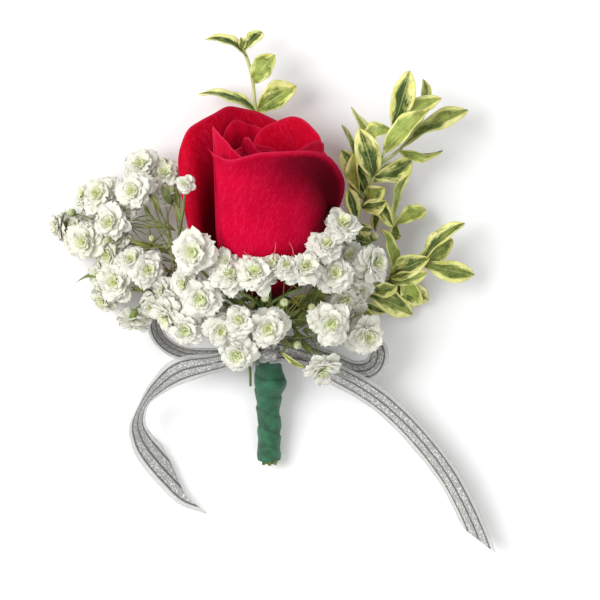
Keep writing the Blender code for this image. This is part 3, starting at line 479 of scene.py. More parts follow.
def tapeMaterial():
    # crepe tape: two deep greens in clouds, painted shade near black in its folds, under its lap edges and in
    # its bore, with a grain across the bundle
    look = dict(dark=(0.008, 0.058, 0.028), light=(0.024, 0.170, 0.075), fold=(0.003, 0.018, 0.010),
                foldShadeShare=0.7, grain=(500.0, 3400.0, 1200.0))
    material, tree, shader = startMaterial("floralTape", **{
        "Roughness": 0.55, "Specular IOR Level": 0.45, "Sheen Weight": 0.1})
    cloud = placeGroup(tree, mottle, Scale=240.0, Contrast=2.2)
    place = tree.nodes.new("ShaderNodeTexCoord")
    crepe = addNode(tree, "ShaderNodeTexNoise", {"Scale": 1.0, "Detail": 4.0, "Roughness": 0.7})
    stretch = addNode(tree, "ShaderNodeMapping", {"Scale": look["grain"]})
    tree.links.new(place.outputs["Object"], stretch.inputs["Vector"])
    tree.links.new(stretch.outputs["Vector"], crepe.inputs["Vector"])
    colour = mixColour(tree, cloud["Mask"], look["dark"], look["light"])
    # painted shade: the tint attribute darkens the folds, the lap edges and the bore towards the fold colour
    fold = times(tree, readAttribute(tree, "tintAndShade"), look["foldShadeShare"])
    tree.links.new(mixColour(tree, fold, colour, look["fold"]), shader.inputs["Base Color"])
    height = weighted(tree, (crepe.outputs["Fac"], 0.5), (cloud["Fine"], 1.0))
    addBump(tree, shader, height, 0.0002, 0.8)
    return material


def ribbonMaterial():
    # sheer silver gauze: two bands full of white glitter, close-woven grey lines between and beside them,
    # and clear edges; fine lengthwise threads run through all of it
    look = dict(gauze=(0.56, 0.555, 0.53), band=(0.40, 0.395, 0.375), line=(0.10, 0.10, 0.094),
                glitter=(0.96, 0.94, 0.92), clear=0.26, cover=(0.34, 0.40, 0.22, 0.25, 0.30))
    material, tree, shader = startMaterial("organza", **{
        "Roughness": 0.4, "Specular IOR Level": 0.5, "Sheen Weight": 0.1, "Sheen Roughness": 0.3})
    across, along = surfaceParts(tree)
    offset = mathNode(tree, "ABSOLUTE", minus(tree, across, 0.5))
    band = rampNode(tree, offset, [(0.030, 0.0), (0.050, 1.0), (0.28, 1.0), (0.30, 0.0)])
    line = rampNode(tree, offset, [(0.022, 1.0), (0.055, 0.0), (0.265, 0.0), (0.295, 1.0), (0.330, 1.0),
                                   (0.37, 0.0)])
    hem = rampNode(tree, offset, [(0.475, 0.0), (0.49, 1.0)])
    fleck = textureOn(tree, "ShaderNodeTexVoronoi", {"Scale": 1.0, "Randomness": 1.0},
                      times(tree, across, 17.0), times(tree, along, 1.25))["Distance"]
    sparkle = times(tree, rampNode(tree, fleck, [(0.15, 0.95), (0.50, 0.0)]), band)
    thread = textureOn(tree, "ShaderNodeTexNoise", {"Scale": 1.0, "Detail": 1.0},
                       times(tree, across, 70.0), times(tree, along, 0.25))["Fac"]
    parts = (band, line, thread, sparkle, hem)
    cover = weighted(tree, *zip(parts, look["cover"]), start=look["clear"], clamp=True)
    tree.links.new(cover, shader.inputs["Alpha"])
    colour = mixColour(tree, band, look["gauze"], look["band"])
    colour = mixColour(tree, line, colour, look["line"])
    colour = mixColour(tree, sparkle, colour, look["glitter"])
    tree.links.new(colour, shader.inputs["Base Color"])
    tree.links.new(minus(tree, 0.5, times(tree, sparkle, 0.3)), shader.inputs["Roughness"])
    addBump(tree, shader, weighted(tree, (sparkle, 1.0), (thread, 0.3)), 0.0002, 0.7)
    return material


petalRed = petalMaterial()
floretWhite = floretMaterial()
sprayGreen = greenMaterial("gypsophilaStem", (0.25, 0.33, 0.07), (0.030, 0.056, 0.009), (0.55, 0.14, 0.09))
woodyGreen = greenMaterial("boxwoodStem", (0.66, 0.68, 0.30), (0.34, 0.38, 0.11), (0.16, 0.12, 0.05))
roseGreen = greenMaterial("roseSepal", (0.15, 0.26, 0.07), (0.035, 0.08, 0.02), (0.30, 0.09, 0.05))
leafGreen = boxwoodMaterial()
tapeGreen = tapeMaterial()
organza = ribbonMaterial()
print("materials made")


# ---- the rose

bloom = dict(hip=(0.5, -31.0, 15.5), tilt=19.0, cupHeight=25.6, cupPower=2.2, root=2.2, rootSpread=0.62,
             wall=0.42, rows=52, columns=84, crowd=1.25, waves=0.25, waveStart=0.6, neckPlace=0.86,
             neckWidth=0.08, lipStart=0.88, bendWeight=20.0)
# painted shade on the petals: how dark the hidden parts are painted, and where up the petal the outside fades
# in below and is painted darker under the rim
paintedShade = dict(inside=0.26, low=0.62, foot=0.10, outside=0.12, footSlope=2.6, footStart=0.1, under=(0.56, 0.88),
             rim=(0.955, 0.985), underTurn=138.0, underSpan=1.7)
# rim: x, y as seen from above and the distance from the bloom's axis, anticlockwise from the right round
# the front; a minus sign puts the point behind the axis. belly: radius of the cup; lean: how late the petal
# leaves its cup; lip: how far the rim curls out; neck: how far it draws in below the lip; droop: how far an
# open wing hangs. The rest is painted shade: hollow: from where to where up the petal its inside comes out
# of the painted dark; shade: turns between which its outside is painted darker; under: how dark the painted
# shade just under the rim is; dim: turns between which its inside is painted darker, with its share; low:
# heights up to which the inside stays painted dim
plainPetal = dict(lean=2.0, neck=0.0, droop=0.0, hollow=(0.8, 1.0), shade=(-400, -399), under=0.0,
                  dim=(400, 401, 0.0), low=(-2, -1))
rosePetals = dict(
    front=dict(belly=20.4, lean=4.0, lip=1.9, neck=1.0, hollow=(0.7, 0.9), shade=(8, 62), under=0.78, rim=[
        (18.6, -7.6, 18.4), (21.4, -4.6, 21.3), (23.4, -1.8, 23.6), (24.7, 1.8, 25.2),
        (24.8, 5.4, 25.6), (23.6, 8.8, 25.2), (21.7, 11.4, 24.4), (19.1, 13.2, 23.3),
        (15.4, 14.3, 22.5), (11.1, 14.3, 22), (5.5, 14, 21.8), (-0.5, 13.5, 21.6), (-4.6, 12.6, 21.4),
        (-8.2, 11.7, 21.2), (-11, 11.8, 21), (-13.5, 12.9, 20.8), (-15, 13.9, 20.9),
        (-16.1, 15.2, 21.2)]),
    left=dict(belly=20.6, lean=2.6, lip=0.4, droop=2.0, hollow=(0.36, 1.08), dim=(-160, -112, 0.22),
              low=(8, 22), rim=[
        (-24.1, -11.4, -24.7), (-25.6, -4, -26.3), (-27.2, 3, -28), (-27.3, 9.5, -28.3),
        (-26.8, 15, -28.2), (-24.7, 21, -27.2), (-20.9, 24.8, -26), (-16.3, 27.9, -24.9),
        (-11.8, 30.2, -24.2), (-6.4, 29.6, -23.4), (-2.3, 28.8, -22.8), (1.2, 27.3, -22.4),
        (5.5, 25, -22.2), (9.5, 21.5, -22)]),
    behind=dict(belly=20.2, lip=0.5, rim=[
        (-13.4, 17, -20.8), (-13, 20.5, -21.1), (-11.7, 23.6, -21.4), (-10.2, 25.7, -21.6),
        (-8.4, 26.2, -21.7), (-4.6, 24.9, -21.6), (-1.1, 23.7, -21.2), (3, 21.5, -20.8),
        (7, 18, -20.6)]),
    right=dict(belly=19.4, lip=0.6, hollow=(0.58, 0.84), rim=[
        (-4.2, 15, -19.2), (-3.4, 18.6, -19.5), (-2.6, 21, -19.8), (-0.5, 23.7, -20.2),
        (1.8, 24.9, -20.4), (3.6, 25.6, -20.6), (6, 26.6, -20.8), (8.6, 27.2, -20.9),
        (11, 26.7, -20.9), (14, 24.7, -20.6), (16.4, 22.2, -20.2), (18.2, 19.3, -19.8),
        (19, 15.6, -19.4), (19.2, 11, 19)]),
    fold=dict(belly=17.0, lip=0.5, hollow=(0.7, 0.95), shade=(-60, 40), rim=[
        (18.6, 14.5, -18.4), (19, 16.3, 18.6), (17.7, 17.8, 18.3), (16, 17.6, 17.9),
        (13.4, 16.3, 17.6), (11, 14.6, 17.5), (7.5, 12.4, 17.4)]),
    point=dict(belly=16.6, lip=0.3, rim=[
        (-5.4, 11.4, 17.4), (-8.7, 14.6, 17.4), (-11, 16.9, 17.3), (-13.5, 19.7, 17.3),
        (-15.3, 22.4, 17.2), (-16.1, 21.4, 17.1), (-15.8, 18.6, 17), (-15.2, 16.4, 16.9)]),
    innerBack=dict(belly=12.6, lip=0.2, rim=[
        (-12.6, 12, -13.2), (-9.6, 15.6, -13), (-5, 17.6, -12.6), (0.4, 17.4, -12.2), (5, 15, -12)]),
    innerRight=dict(belly=13.6, lip=0.2, rim=[
        (7.4, 14.4, -13.6), (11.4, 15.4, -13.4), (13.6, 14.6, 13.4), (10.4, 12.4, 13.6),
        (4.4, 9.6, 13.6)]),
    innerLeft=dict(belly=10.6, lip=0.2, rim=[
        (6.6, 9.8, 10.2), (0.5, 11.4, 10.2), (-5.6, 13.4, 10), (-8.8, 15.4, 9.8), (-9.4, 13.4, -10.4)]),
    heart=dict(belly=7.4, lip=0.7, rim=[
        (2.4, 12.2, 7), (0.4, 13.2, 6.9), (-1.4, 14.8, 6.7), (-2.6, 16.6, 6.5), (-3.5, 18.2, 6.3),
        (-4.6, 19.2, 6.2), (-5.8, 19, 6.3), (-6.3, 17.4, 6.8), (-6.6, 15.4, -7.2)]),
    core=dict(belly=5.0, lip=0.3, rim=[
        (-3.6, 14.4, -5), (0.4, 15.6, -4.6), (4.4, 14.4, -4.4), (4.9, 12.8, 4.6), (1.6, 12.2, 4.6)]),
)
tilt = math.radians(bloom["tilt"])
bloomHip = np.array(bloom["hip"])
bloomAxis = np.array([0.0, math.cos(tilt), math.sin(tilt)])
bloomFront = np.array([0.0, -math.sin(tilt), math.cos(tilt)])
bloomSide = np.array([1.0, 0.0, 0.0])


def bloomPoint(turn, radius, height, front):
    # cylinder coordinates about the bloom's tilted axis: turn in radians, 0 right and a quarter turn front
    turn, radius, height = (np.asarray(a)[..., None] for a in np.broadcast_arrays(turn, radius, height))
    across = np.cos(turn) * bloomSide + np.sin(turn) * bloomFront
    return bloomHip + radius * across + height * bloomAxis + front[..., None] * bloomFront


def rimCurve(rim, columns):
    # where a rim point lies follows from its place as seen from above and its distance from the axis:
    # x = hip x + distance * cos(turn), y = hip y + height * cos(tilt) - distance * sin(turn) * sin(tilt)
    x, y, reach = np.array(rim, float).T
    radius = np.abs(reach)
    turn = np.sign(reach) * np.arccos(np.clip((x - bloomHip[0]) / radius, -1, 1))
    height = (y - bloomHip[1] + radius * np.sin(turn) * math.sin(tilt)) / math.cos(tilt)
    curve = smoothPath(np.stack([np.unwrap(turn), height, radius], axis=1), 12)
    along = runLength(curve[:, :2] * (bloom["bendWeight"], 1))
    even = np.linspace(0, along[-1], columns)
    return [np.interp(even, along, curve[:, k]) for k in range(3)]


def petalSurface(petal, order):
    # u runs round the bloom and v from root to rim; the cup is an ellipse that ends in an upright wall,
    # leaves that wall for the rim's own radius, narrows to a neck, and ends in a lip that curls out
    turn, rimHeight, rimRadius = rimCurve(petal["rim"], bloom["columns"])
    u = np.linspace(0, 1, bloom["columns"])[None, :]
    v = 1 - (1 - np.linspace(0, 1, bloom["rows"])[:, None]) ** bloom["crowd"]
    middle = (turn.min() + turn.max()) / 2
    spread = bloom["rootSpread"] + (1 - bloom["rootSpread"]) * np.sqrt(v)
    turn = middle + (turn - middle) * spread
    height = bloom["root"] + (rimHeight - bloom["root"]) * v
    rise = np.minimum(height / bloom["cupHeight"], 1.0)
    cup = petal["belly"] * np.sqrt(1 - (1 - rise) ** bloom["cupPower"])
    away = (rimRadius - petal["belly"]) * ease(v) * v ** petal["lean"]
    neck = petal["neck"] * hump(v, bloom["neckPlace"], bloom["neckWidth"])
    lip = np.clip((v - bloom["lipStart"]) / (1 - bloom["lipStart"]), 0, 1) ** 2 - 0.5
    wave = np.sin(fullTurn * (u * 2.3 + 0.37 * order)) + 0.5 * np.sin(fullTurn * (u * 5.1 + 0.61 * order))
    radius = cup + away - neck + petal["lip"] * lip + bloom["waves"] * wave * fade(v, bloom["waveStart"], 1)
    droop = petal["droop"] * np.clip((radius - petal["belly"]) / 5, 0, 1.5) ** 2
    return bloomPoint(turn, radius, height, -droop), turn, height, u, v


def petalShade(petal, turn, height, v):
    # painted shade: how bright the inside and the outside are painted, as products of fades up the petal and
    # round the bloom
    near, far, share = petal["dim"]
    inside = paintedShade["inside"] + (1 - paintedShade["inside"]) * fade(v, *petal["hollow"])
    inside = inside * (1 - share * fade(np.degrees(turn), near, far))
    inside = inside * (paintedShade["low"] + (1 - paintedShade["low"]) * fade(height, *petal["low"]))
    outside = paintedShade["foot"] + (1 - paintedShade["foot"]) * ease(v * paintedShade["footSlope"] - paintedShade["footStart"])
    outside = outside * (paintedShade["outside"] + (1 - paintedShade["outside"]) * fade(turn, *np.radians(petal["shade"])))
    under = fade(v, *paintedShade["under"]) * (1 - fade(v, *paintedShade["rim"]))
    under = under * ease((math.radians(paintedShade["underTurn"]) - turn) / paintedShade["underSpan"])
    return inside, outside * (1 - petal["under"] * under)


def buildRose():
    store = newStore()
    for order, own in enumerate(rosePetals.values()):
        petal = {**plainPetal, **own}
        points, turn, height, u, v = petalSurface(petal, order)
        wall = bloom["wall"] * (1 - 0.5 * fade(v, 0.9, 1.0)) * np.ones_like(u)
        # painted shade for the inside and the outside, handed to the material through the tint attribute
        inside, outside = petalShade(petal, turn, height, v)
        addBlades(store, points[None], wall[None], mapOf(u + order, v)[None], inside[None], outside[None])
    makePiece("rosePetals", store, petalRed, ["rose_bloom"])


buildRose()
print("rose built")


# ---- stems shared by the sprays and the leafy stems

bundle = dict(top=(0.9, -44.0, 12.4), end=(1.6, -86.0, 3.5), ring=2.45, slots=7, stem=0.55, leave=0.9,
              flare=1.05, taper=0.35, knuckle=0.1, steps=7)
bundleTop, bundleEnd = np.array(bundle["top"]), np.array(bundle["end"])
bundleAxis = unit(bundleTop - bundleEnd)
bundleTurn = turnTo(bundleTop - bundleEnd)


def roundBundle(turn):
    # directions square to the bundle, turn in radians
    return np.cos(turn)[..., None] * bundleTurn[0] + np.sin(turn)[..., None] * bundleTurn[1]


def bundlePoint(slot, along):
    # middle of a stem's slot on the ring round the rose stem, along from 0 at the cut end to 1 at the top
    turn = math.radians(90 + slot * 360 / bundle["slots"])
    across = -math.cos(turn) * bundleTurn[0] + math.sin(turn) * bundleTurn[1]
    return bundleEnd + (bundleTop - bundleEnd) * along + across * bundle["ring"]


def addStems(store, routes, slot, thick=1.0):
    # the first route starts in the bundle and the others branch off; every route tapers and swells a little
    # at its joints, and thick widens the part that leaves the bundle
    paths = []
    for number, route in enumerate(routes):
        if number == 0:
            route = [bundlePoint(slot, bundle["leave"]), bundlePoint(slot, bundle["flare"])] + route
        path = smoothPath(route, bundle["steps"])
        if number == 0:
            path = np.vstack([bundlePoint(slot, 0.0)[None], path])
        t = np.linspace(0, 1, len(path))
        joint = np.abs(np.sin(np.pi * t * (len(route) - 1))) ** 10
        taper = 1 + ((1 - bundle["taper"] * t) * thick - 1) * ease(t * 4)
        swell = 1 + bundle["knuckle"] * (1 - joint) * ease(t * 8)
        addTube(store, path, bundle["stem"] * taper * swell)
        paths.append(path)
    return paths


# ---- leaves

# wall: thickness; root: width at the root as a share; keel: how deep the fold along the middle is; wave: of
# the margins; twist and curl: how far they stray; widest: below 1 before the middle, above 1 beyond it;
# blunt: lower is fuller; full: of the width; warmth: highest tint
blade = dict(rows=24, columns=13, wall=0.34, root=0.16, keel=(0.15, 0.75), wave=0.07, twist=0.45,
             widest=(0.95, 1.65), blunt=(0.5, 0.8), curl=0.07, full=1.14, warmth=1.0)
bract = dict(rows=10, columns=5, wall=0.20, root=0.16, keel=(0.3, 0.9), wave=0.03, twist=0.5,
             widest=(0.7, 1.1), blunt=(0.8, 1.0), curl=0.10, full=1.0, warmth=0.12)


def addLeaves(store, leaves, paths, form):
    # every blade of a stem at once, each given by its base, tip, width, roll and arch: an oval outline,
    # half = sin(pi * v ** widest) ** blunt, with a keel, arched along its length, with a slow wave along its
    # margins, a twist, and a tip that curls up or down; bases are drawn to the nearest point of the stems
    base = np.array([leaf[0] for leaf in leaves], float)
    tip = np.array([leaf[1] for leaf in leaves], float)
    width, roll, arch = (c[:, None, None] for c in np.array([leaf[2:] for leaf in leaves], float).T)
    each = (len(leaves), 1, 1)
    spots = np.concatenate(paths)
    base = spots[np.argmin(np.linalg.norm(spots[None] - base[:, None], axis=-1), axis=1)]
    length = np.linalg.norm(tip - base, axis=1)[:, None, None]
    roll = np.radians(roll)
    v = np.linspace(0, 1, form["rows"])[None, :, None]
    u = np.linspace(1, -1, form["columns"])[None, None, :]
    oval = np.sin(np.pi * v ** chance.uniform(*form["widest"], each)).clip(0)
    oval = oval ** chance.uniform(*form["blunt"], each)
    half = 0.5 * form["full"] * width * (form["root"] * (1 - v) + (1 - form["root"] * 0.5) * oval)
    phase = chance.uniform(0, 6.28, each)
    wave = np.sin(v * 9.0 + phase) * np.sign(u) * 0.5 + np.sin(v * 14.0 + 2 * phase)
    twist = roll + chance.normal(0, form["twist"], each) * (v - 0.4)
    keel = chance.uniform(*form["keel"], each) * np.abs(u) ** 1.3 * half
    keel = keel + form["wave"] * width * wave * u ** 2
    rise = arch * length * 4 * v * (1 - v) + chance.normal(0, form["curl"], each) * length * v ** 3
    x = u * half
    local = np.stack(np.broadcast_arrays(x * np.cos(twist) - keel * np.sin(twist) - rise * np.sin(roll),
                                         x * np.sin(twist) + keel * np.cos(twist) + rise * np.cos(roll),
                                         v * length), axis=-1)
    tintAndShade = form["warmth"] * chance.uniform(0, 1, each)
    wall = form["wall"] * (1 - 0.5 * np.abs(u) ** 3)
    addBlades(store, placed(local, turnTo(tip - base), base), wall, mapOf((u + 1) / 2, v), tintAndShade)


# ---- gypsophila

floret = dict(petalRows=6, petalColumns=5, wall=0.10, reach=(0.76, 1.13), width=(0.82, 1.14), spin=0.28,
              slope=13.0, claw=0.22, clawEnd=0.55, roundFrom=0.62, roundOver=0.42, notch=0.11, ragged=0.045,
              sink=0.10, smallest=4.0, foot=0.34, budFoot=0.5, ageAndShade=(0.08, 0.45, 0.12), shadeHeight=(24, 18))
# thread: radii at the two ends of the fine stalks, the twigs and the hairs; ahead and upward: what it costs
# a stalk to join a stem in front of its flower or above it; bend: how straight it leaves the flower
thread = dict(stalk=(0.152, 0.2375), fine=(0.2125, 0.15), twig=(0.275, 0.2), hair=(0.175, 0.0875), ahead=1.6,
              upward=0.6, bend=0.45, inset=0.5, points=9, hubStray=1.0, stray=1.6, sag=1.0)
# small turned forms: (radius, height) pairs in shares of the flower's size
cup = dict(sides=8, tintAndShade=0.0, scale=1.0, lobes=0, ribs=0.0, profile=[
    (0.03, -0.36), (0.07, -0.35), (0.11, -0.28), (0.125, -0.18), (0.14, -0.10), (0.10, -0.09), (0.02, -0.10)])
bud = dict(sides=14, tintAndShade=0.80, scale=0.78, lobes=7, ribs=0.09, profile=[
    (0.02, -0.6), (0.26, -0.5), (0.44, -0.25), (0.5, 0.0), (0.45, 0.28), (0.32, 0.5), (0.17, 0.6),
    (0.08, 0.5), (0.02, 0.35)])
budCup = dict(sides=10, tintAndShade=0.0, scale=0.84, lobes=0, ribs=0.0, profile=[
    (0.05, -0.66), (0.2, -0.6), (0.46, -0.4), (0.56, -0.1), (0.52, 0.05), (0.4, 0.0), (0.05, -0.3)])
# rings of petals from outside in: how many, reach and width as shares of the floret, rise at the root
# and at the tip in degrees, and height of the root above the foot of the flower; the last is the heart
petalRings = [
    dict(number=10, reach=0.57, width=0.46, rise=(20, -22), height=0.00),
    dict(number=10, reach=0.51, width=0.41, rise=(30, -6), height=0.04),
    dict(number=9, reach=0.41, width=0.36, rise=(40, 6), height=0.08),
    dict(number=8, reach=0.30, width=0.28, rise=(50, 16), height=0.12),
    dict(number=7, reach=0.22, width=0.22, rise=(60, 26), height=0.15),
    dict(number=6, reach=0.14, width=0.15, rise=(72, 34), height=0.17),
    dict(number=4, reach=0.08, width=0.11, rise=(84, 40), height=0.19),
]
# routes: stems, the first from the bundle, the others from it; twigs and hairs: finer ones; bracts and
# leaves: base, tip, width, roll, arch; florets: x, y, z, size, lean off the vertical, bearing; small ones
# are buds; hubs: where the fine stalks start
leftSpray = dict(slot=1, routes=[
    [(-4.5, -38.5, 15), (-15, -28, 20), (-27, -16, 21), (-36, -6, 18), (-42, 3, 14)],
    [(-4.5, -38.5, 15), (-10, -35, 14.5), (-19, -29.5, 14.5), (-33, -22, 15), (-46, -15, 12),
     (-59, -9, 6.5)],
    [(-19, -29.5, 14.5), (-31, -30.5, 17), (-42, -29, 14), (-49, -29, 11)],
    [(-4.5, -38.5, 15), (-15, -37, 20), (-27, -37, 20), (-38, -34.5, 18)],
    [(-27, -16, 21), (-27, -12, 31), (-25.6, -5, 36), (-24.8, 1, 38.2)],
    [(-4.5, -38.5, 15), (-6.4, -43, 11), (-5.8, -49, 8.6), (-4.8, -55, 7.2), (-4.6, -60.5, 6.4)],
], twigs=[
    [(-36, -14.5, 19), (-37.5, -7, 21), (-38.8, -1.2, 22)],
    [(-28.7, -10, 20), (-32.3, -6, 21), (-36, 0, 22), (-38, 3, 21)],
    [(-29.5, -9.7, 20), (-34.8, -6.9, 20), (-42.4, -6.5, 19), (-46.5, -3.2, 18)],
    [(-31.9, -8.1, 20), (-38, -8.9, 19), (-44.4, -7.5, 19)],
    [(-28.7, -18.5, 19), (-34.8, -15.3, 19), (-41.6, -14.1, 18), (-52.5, -13.3, 15)],
    [(-27.5, -13.9, 21), (-34.4, -14.5, 20)], [(-28.7, -20.2, 20), (-36.8, -18.5, 21), (-41, -17, 22)],
    [(-28.5, -23, 20), (-34, -22.3, 21), (-38, -22, 22)], [(-28, 2, 16), (-29, 6, 15), (-31.5, 8.1, 13)],
    [(-56, -6, 14), (-61, -4.2, 10)], [(-38, -32.3, 16), (-40.4, -34.9, 17)],
    [(-24, -25, 24), (-29, -26, 22), (-36, -25.5, 22)], [(-22, -33, 24), (-29, -34, 23), (-37, -36.5, 20)],
    [(-30, -12, 20), (-31, -5, 19), (-29, 2, 17), (-31, 9, 12)],
    [(-33, -9, 19), (-36, 0, 16), (-38, 8, 14)], [(-44, -15, 15), (-50, -10, 15), (-56, -11, 14)],
    [(-20, -20, 19), (-26, -10, 20), (-28, -2, 18)],
], bracts=[
    ((-46, -23.5, 13), (-62.3, -25.6, 9), 3.4, 56, 0.20),
    ((-42.4, -9.3, 20), (-49.2, -12, 18), 2.1, 20, 0.1),
    ((-36.5, -15.8, 19), (-44.5, -11.6, 20), 2, -25, 0.1), ((-33, -4, 21), (-36.5, 2, 22), 1.7, 10, 0.1),
    ((-30.5, -1, 20), (-33, 4.5, 20), 2.1, -10, 0.1), ((-28, -3, 18), (-29.5, 4, 17), 2.2, 20, 0.1),
    ((-28.7, -29.8, 20), (-22.9, -31.5, 25), 2.1, 10, 0.1),
    ((-36, -30.7, 17), (-43, -28.4, 17), 2, 20, 0.12),
    ((-34.8, -24.2, 20), (-32.6, -29.4, 19), 2.1, 15, 0.1), ((-50, -10, 15), (-54, -8, 14), 1.5, 0, 0.1),
    ((-26, -8, 19), (-28.4, -1, 19), 2, -10, 0.1), ((-46, -14, 15), (-53, -11, 14), 1.7, -10, 0.1),
    ((-30, -17, 20), (-37, -13.5, 21), 1.7, 10, 0.1),
], hubs=[(-27.5, -15, 21), (-28.5, -21, 19), (-26, -27, 21), (-31, -9, 20)], florets=[
    (-39.7, 11.1, 15, 12.9, 35, 110), (-41.8, 2.9, 22, 12.6, 20, 180), (-53.3, 1.7, 16, 12.9, 30, 150),
    (-58.3, 1.7, 10, 10.7, 60, 150), (-49.2, -7, 20.5, 11.7, 25, 200), (-57.9, -13.2, 15, 12.9, 30, 190),
    (-67.4, -7.8, 4.6, 10.4, 82, 185), (-62, -8.8, 6.6, 10, 50, 170), (-32, 8.4, 15, 11.8, 30, 100),
    (-31.2, 3, 16, 11.1, 25, 60), (-48, -26.3, 17, 12.9, 25, 200), (-52.2, -32, 10, 10.7, 50, 225),
    (-42.6, -19.6, 22.5, 10.4, 25, 100), (-37.3, -22.8, 24, 11.8, 12, 20),
    (-42.3, -38.8, 18, 11.1, 118, 258), (-32, -29.2, 23, 10.4, 60, 200), (-50, -17.4, 14.5, 11.8, 35, 200),
    (-21.9, -17.2, 41, 14.2, 14, 190), (-24.6, -27, 33, 11.1, 30, 200), (-19.8, -31.8, 36, 13, 10, 250),
    (-30.9, -37.2, 24, 12.1, 60, 228), (-24.6, -41.4, 27, 12.1, 28, 250), (-62.5, -13, 9, 8.6, 45, 190),
    (-45.4, -3.4, 17, 8.8, 30, 120), (-53.6, -24.2, 12, 9, 40, 190), (-36.2, -34.6, 19, 8.6, 35, 240),
    (-46.8, -13, 16, 8.2, 30, 160), (-29, -31.8, 26, 8, 25, 220), (-24.6, 4.3, 41, 6.1, 8, 120),
    (-63, -3.7, 9, 3, 40, 140), (-32.8, 12.9, 13, 2.8, 30, 100), (-50.5, -13, 21.5, 2.8, 30, 200),
    (-36, -12.5, 24, 2.6, 20, 60),
])
centreSpray = dict(slot=0, routes=[
    [(1, -39, 21), (0, -35, 27), (-0.5, -31, 32)], [(0, -35, 27), (-5, -31, 31), (-9, -29.5, 33)],
    [(0, -35, 27), (6, -31, 31), (12, -28.5, 33)], [(1, -39, 21), (-5, -41, 24), (-11, -43, 24.5)],
], twigs=[
    [(9.7, -40.5, 22), (14, -36, 26), (17.5, -30, 28)],
    [(5, -41, 23), (8.5, -36.5, 28), (12.6, -31.5, 32)], [(3, -38, 25), (7.6, -36, 29), (13.4, -28.5, 34)],
    [(2.5, -40, 25), (6.6, -38, 30), (7.4, -33.5, 34)], [(4, -43.5, 26), (11, -44.5, 28), (18, -43, 30)],
    [(-2, -40, 25), (-8, -37, 28), (-14, -33, 31)], [(-2, -38, 25), (-6, -34, 30), (-11, -27, 35)],
    [(5, -38, 25), (11, -38.5, 27), (18, -39, 28)],
], hairs=[
    [(-3.6, -20.6, 42.4), (-4.8, -18.6, 42.6), (-6, -17, 42.4)],
    [(3, -19.6, 42.8), (3.8, -16.5, 43), (4, -14.2, 43)],
    [(9.6, -18.4, 42), (9.2, -16, 42.2), (8.2, -14.2, 42.6)],
], bracts=[
    ((-3, -35.5, 24), (-12.9, -31.2, 27), 2.6, 20, 0.1), ((-6, -36.6, 25), (-1.5, -30.6, 29), 2, -10, 0.1),
    ((9, -37, 22), (15.7, -33.7, 25), 2.2, 10, 0.1), ((6, -40, 22), (12.1, -34.6, 27), 2, -15, 0.1),
    ((4.5, -42, 24), (10.6, -38, 27), 2, 15, 0.1), ((10, -40, 21), (19, -36.6, 23), 2, 10, 0.1),
    ((3, -43, 24), (9.6, -47.4, 27), 2, 10, 0.1), ((2, -38, 25), (1, -31, 30), 2, 10, 0.1),
    ((-4, -40, 24), (-13, -36.4, 26), 2.1, 15, 0.1), ((4, -38, 24), (7.2, -31, 28), 2, -15, 0.1),
], hubs=[(2, -40, 23), (5, -42, 23), (-1, -38, 25)], florets=[
    (-10.3, -24.4, 40, 11.7, 22, 100), (-12.2, -20.8, 38, 10.4, 35, 130), (-2.5, -24, 43, 12.7, 26, 96),
    (2.9, -21.2, 41.5, 8.7, 30, 90), (7.2, -21.8, 43, 9.2, 30, 80), (13.1, -22.3, 41.5, 11.8, 30, 60),
    (-13.3, -41.7, 31, 11.4, 18, 270), (-7.6, -38.9, 34.5, 10.5, 15, 120), (1.4, -41.3, 33.5, 13, 6, 270),
    (-8.5, -49.2, 28, 12.9, 30, 255), (6.6, -33, 37, 3.5, 15, 60), (10.6, -46.6, 27, 3.5, 40, 330),
    (0.6, -31.6, 37.5, 3.2, 15, 100),
])
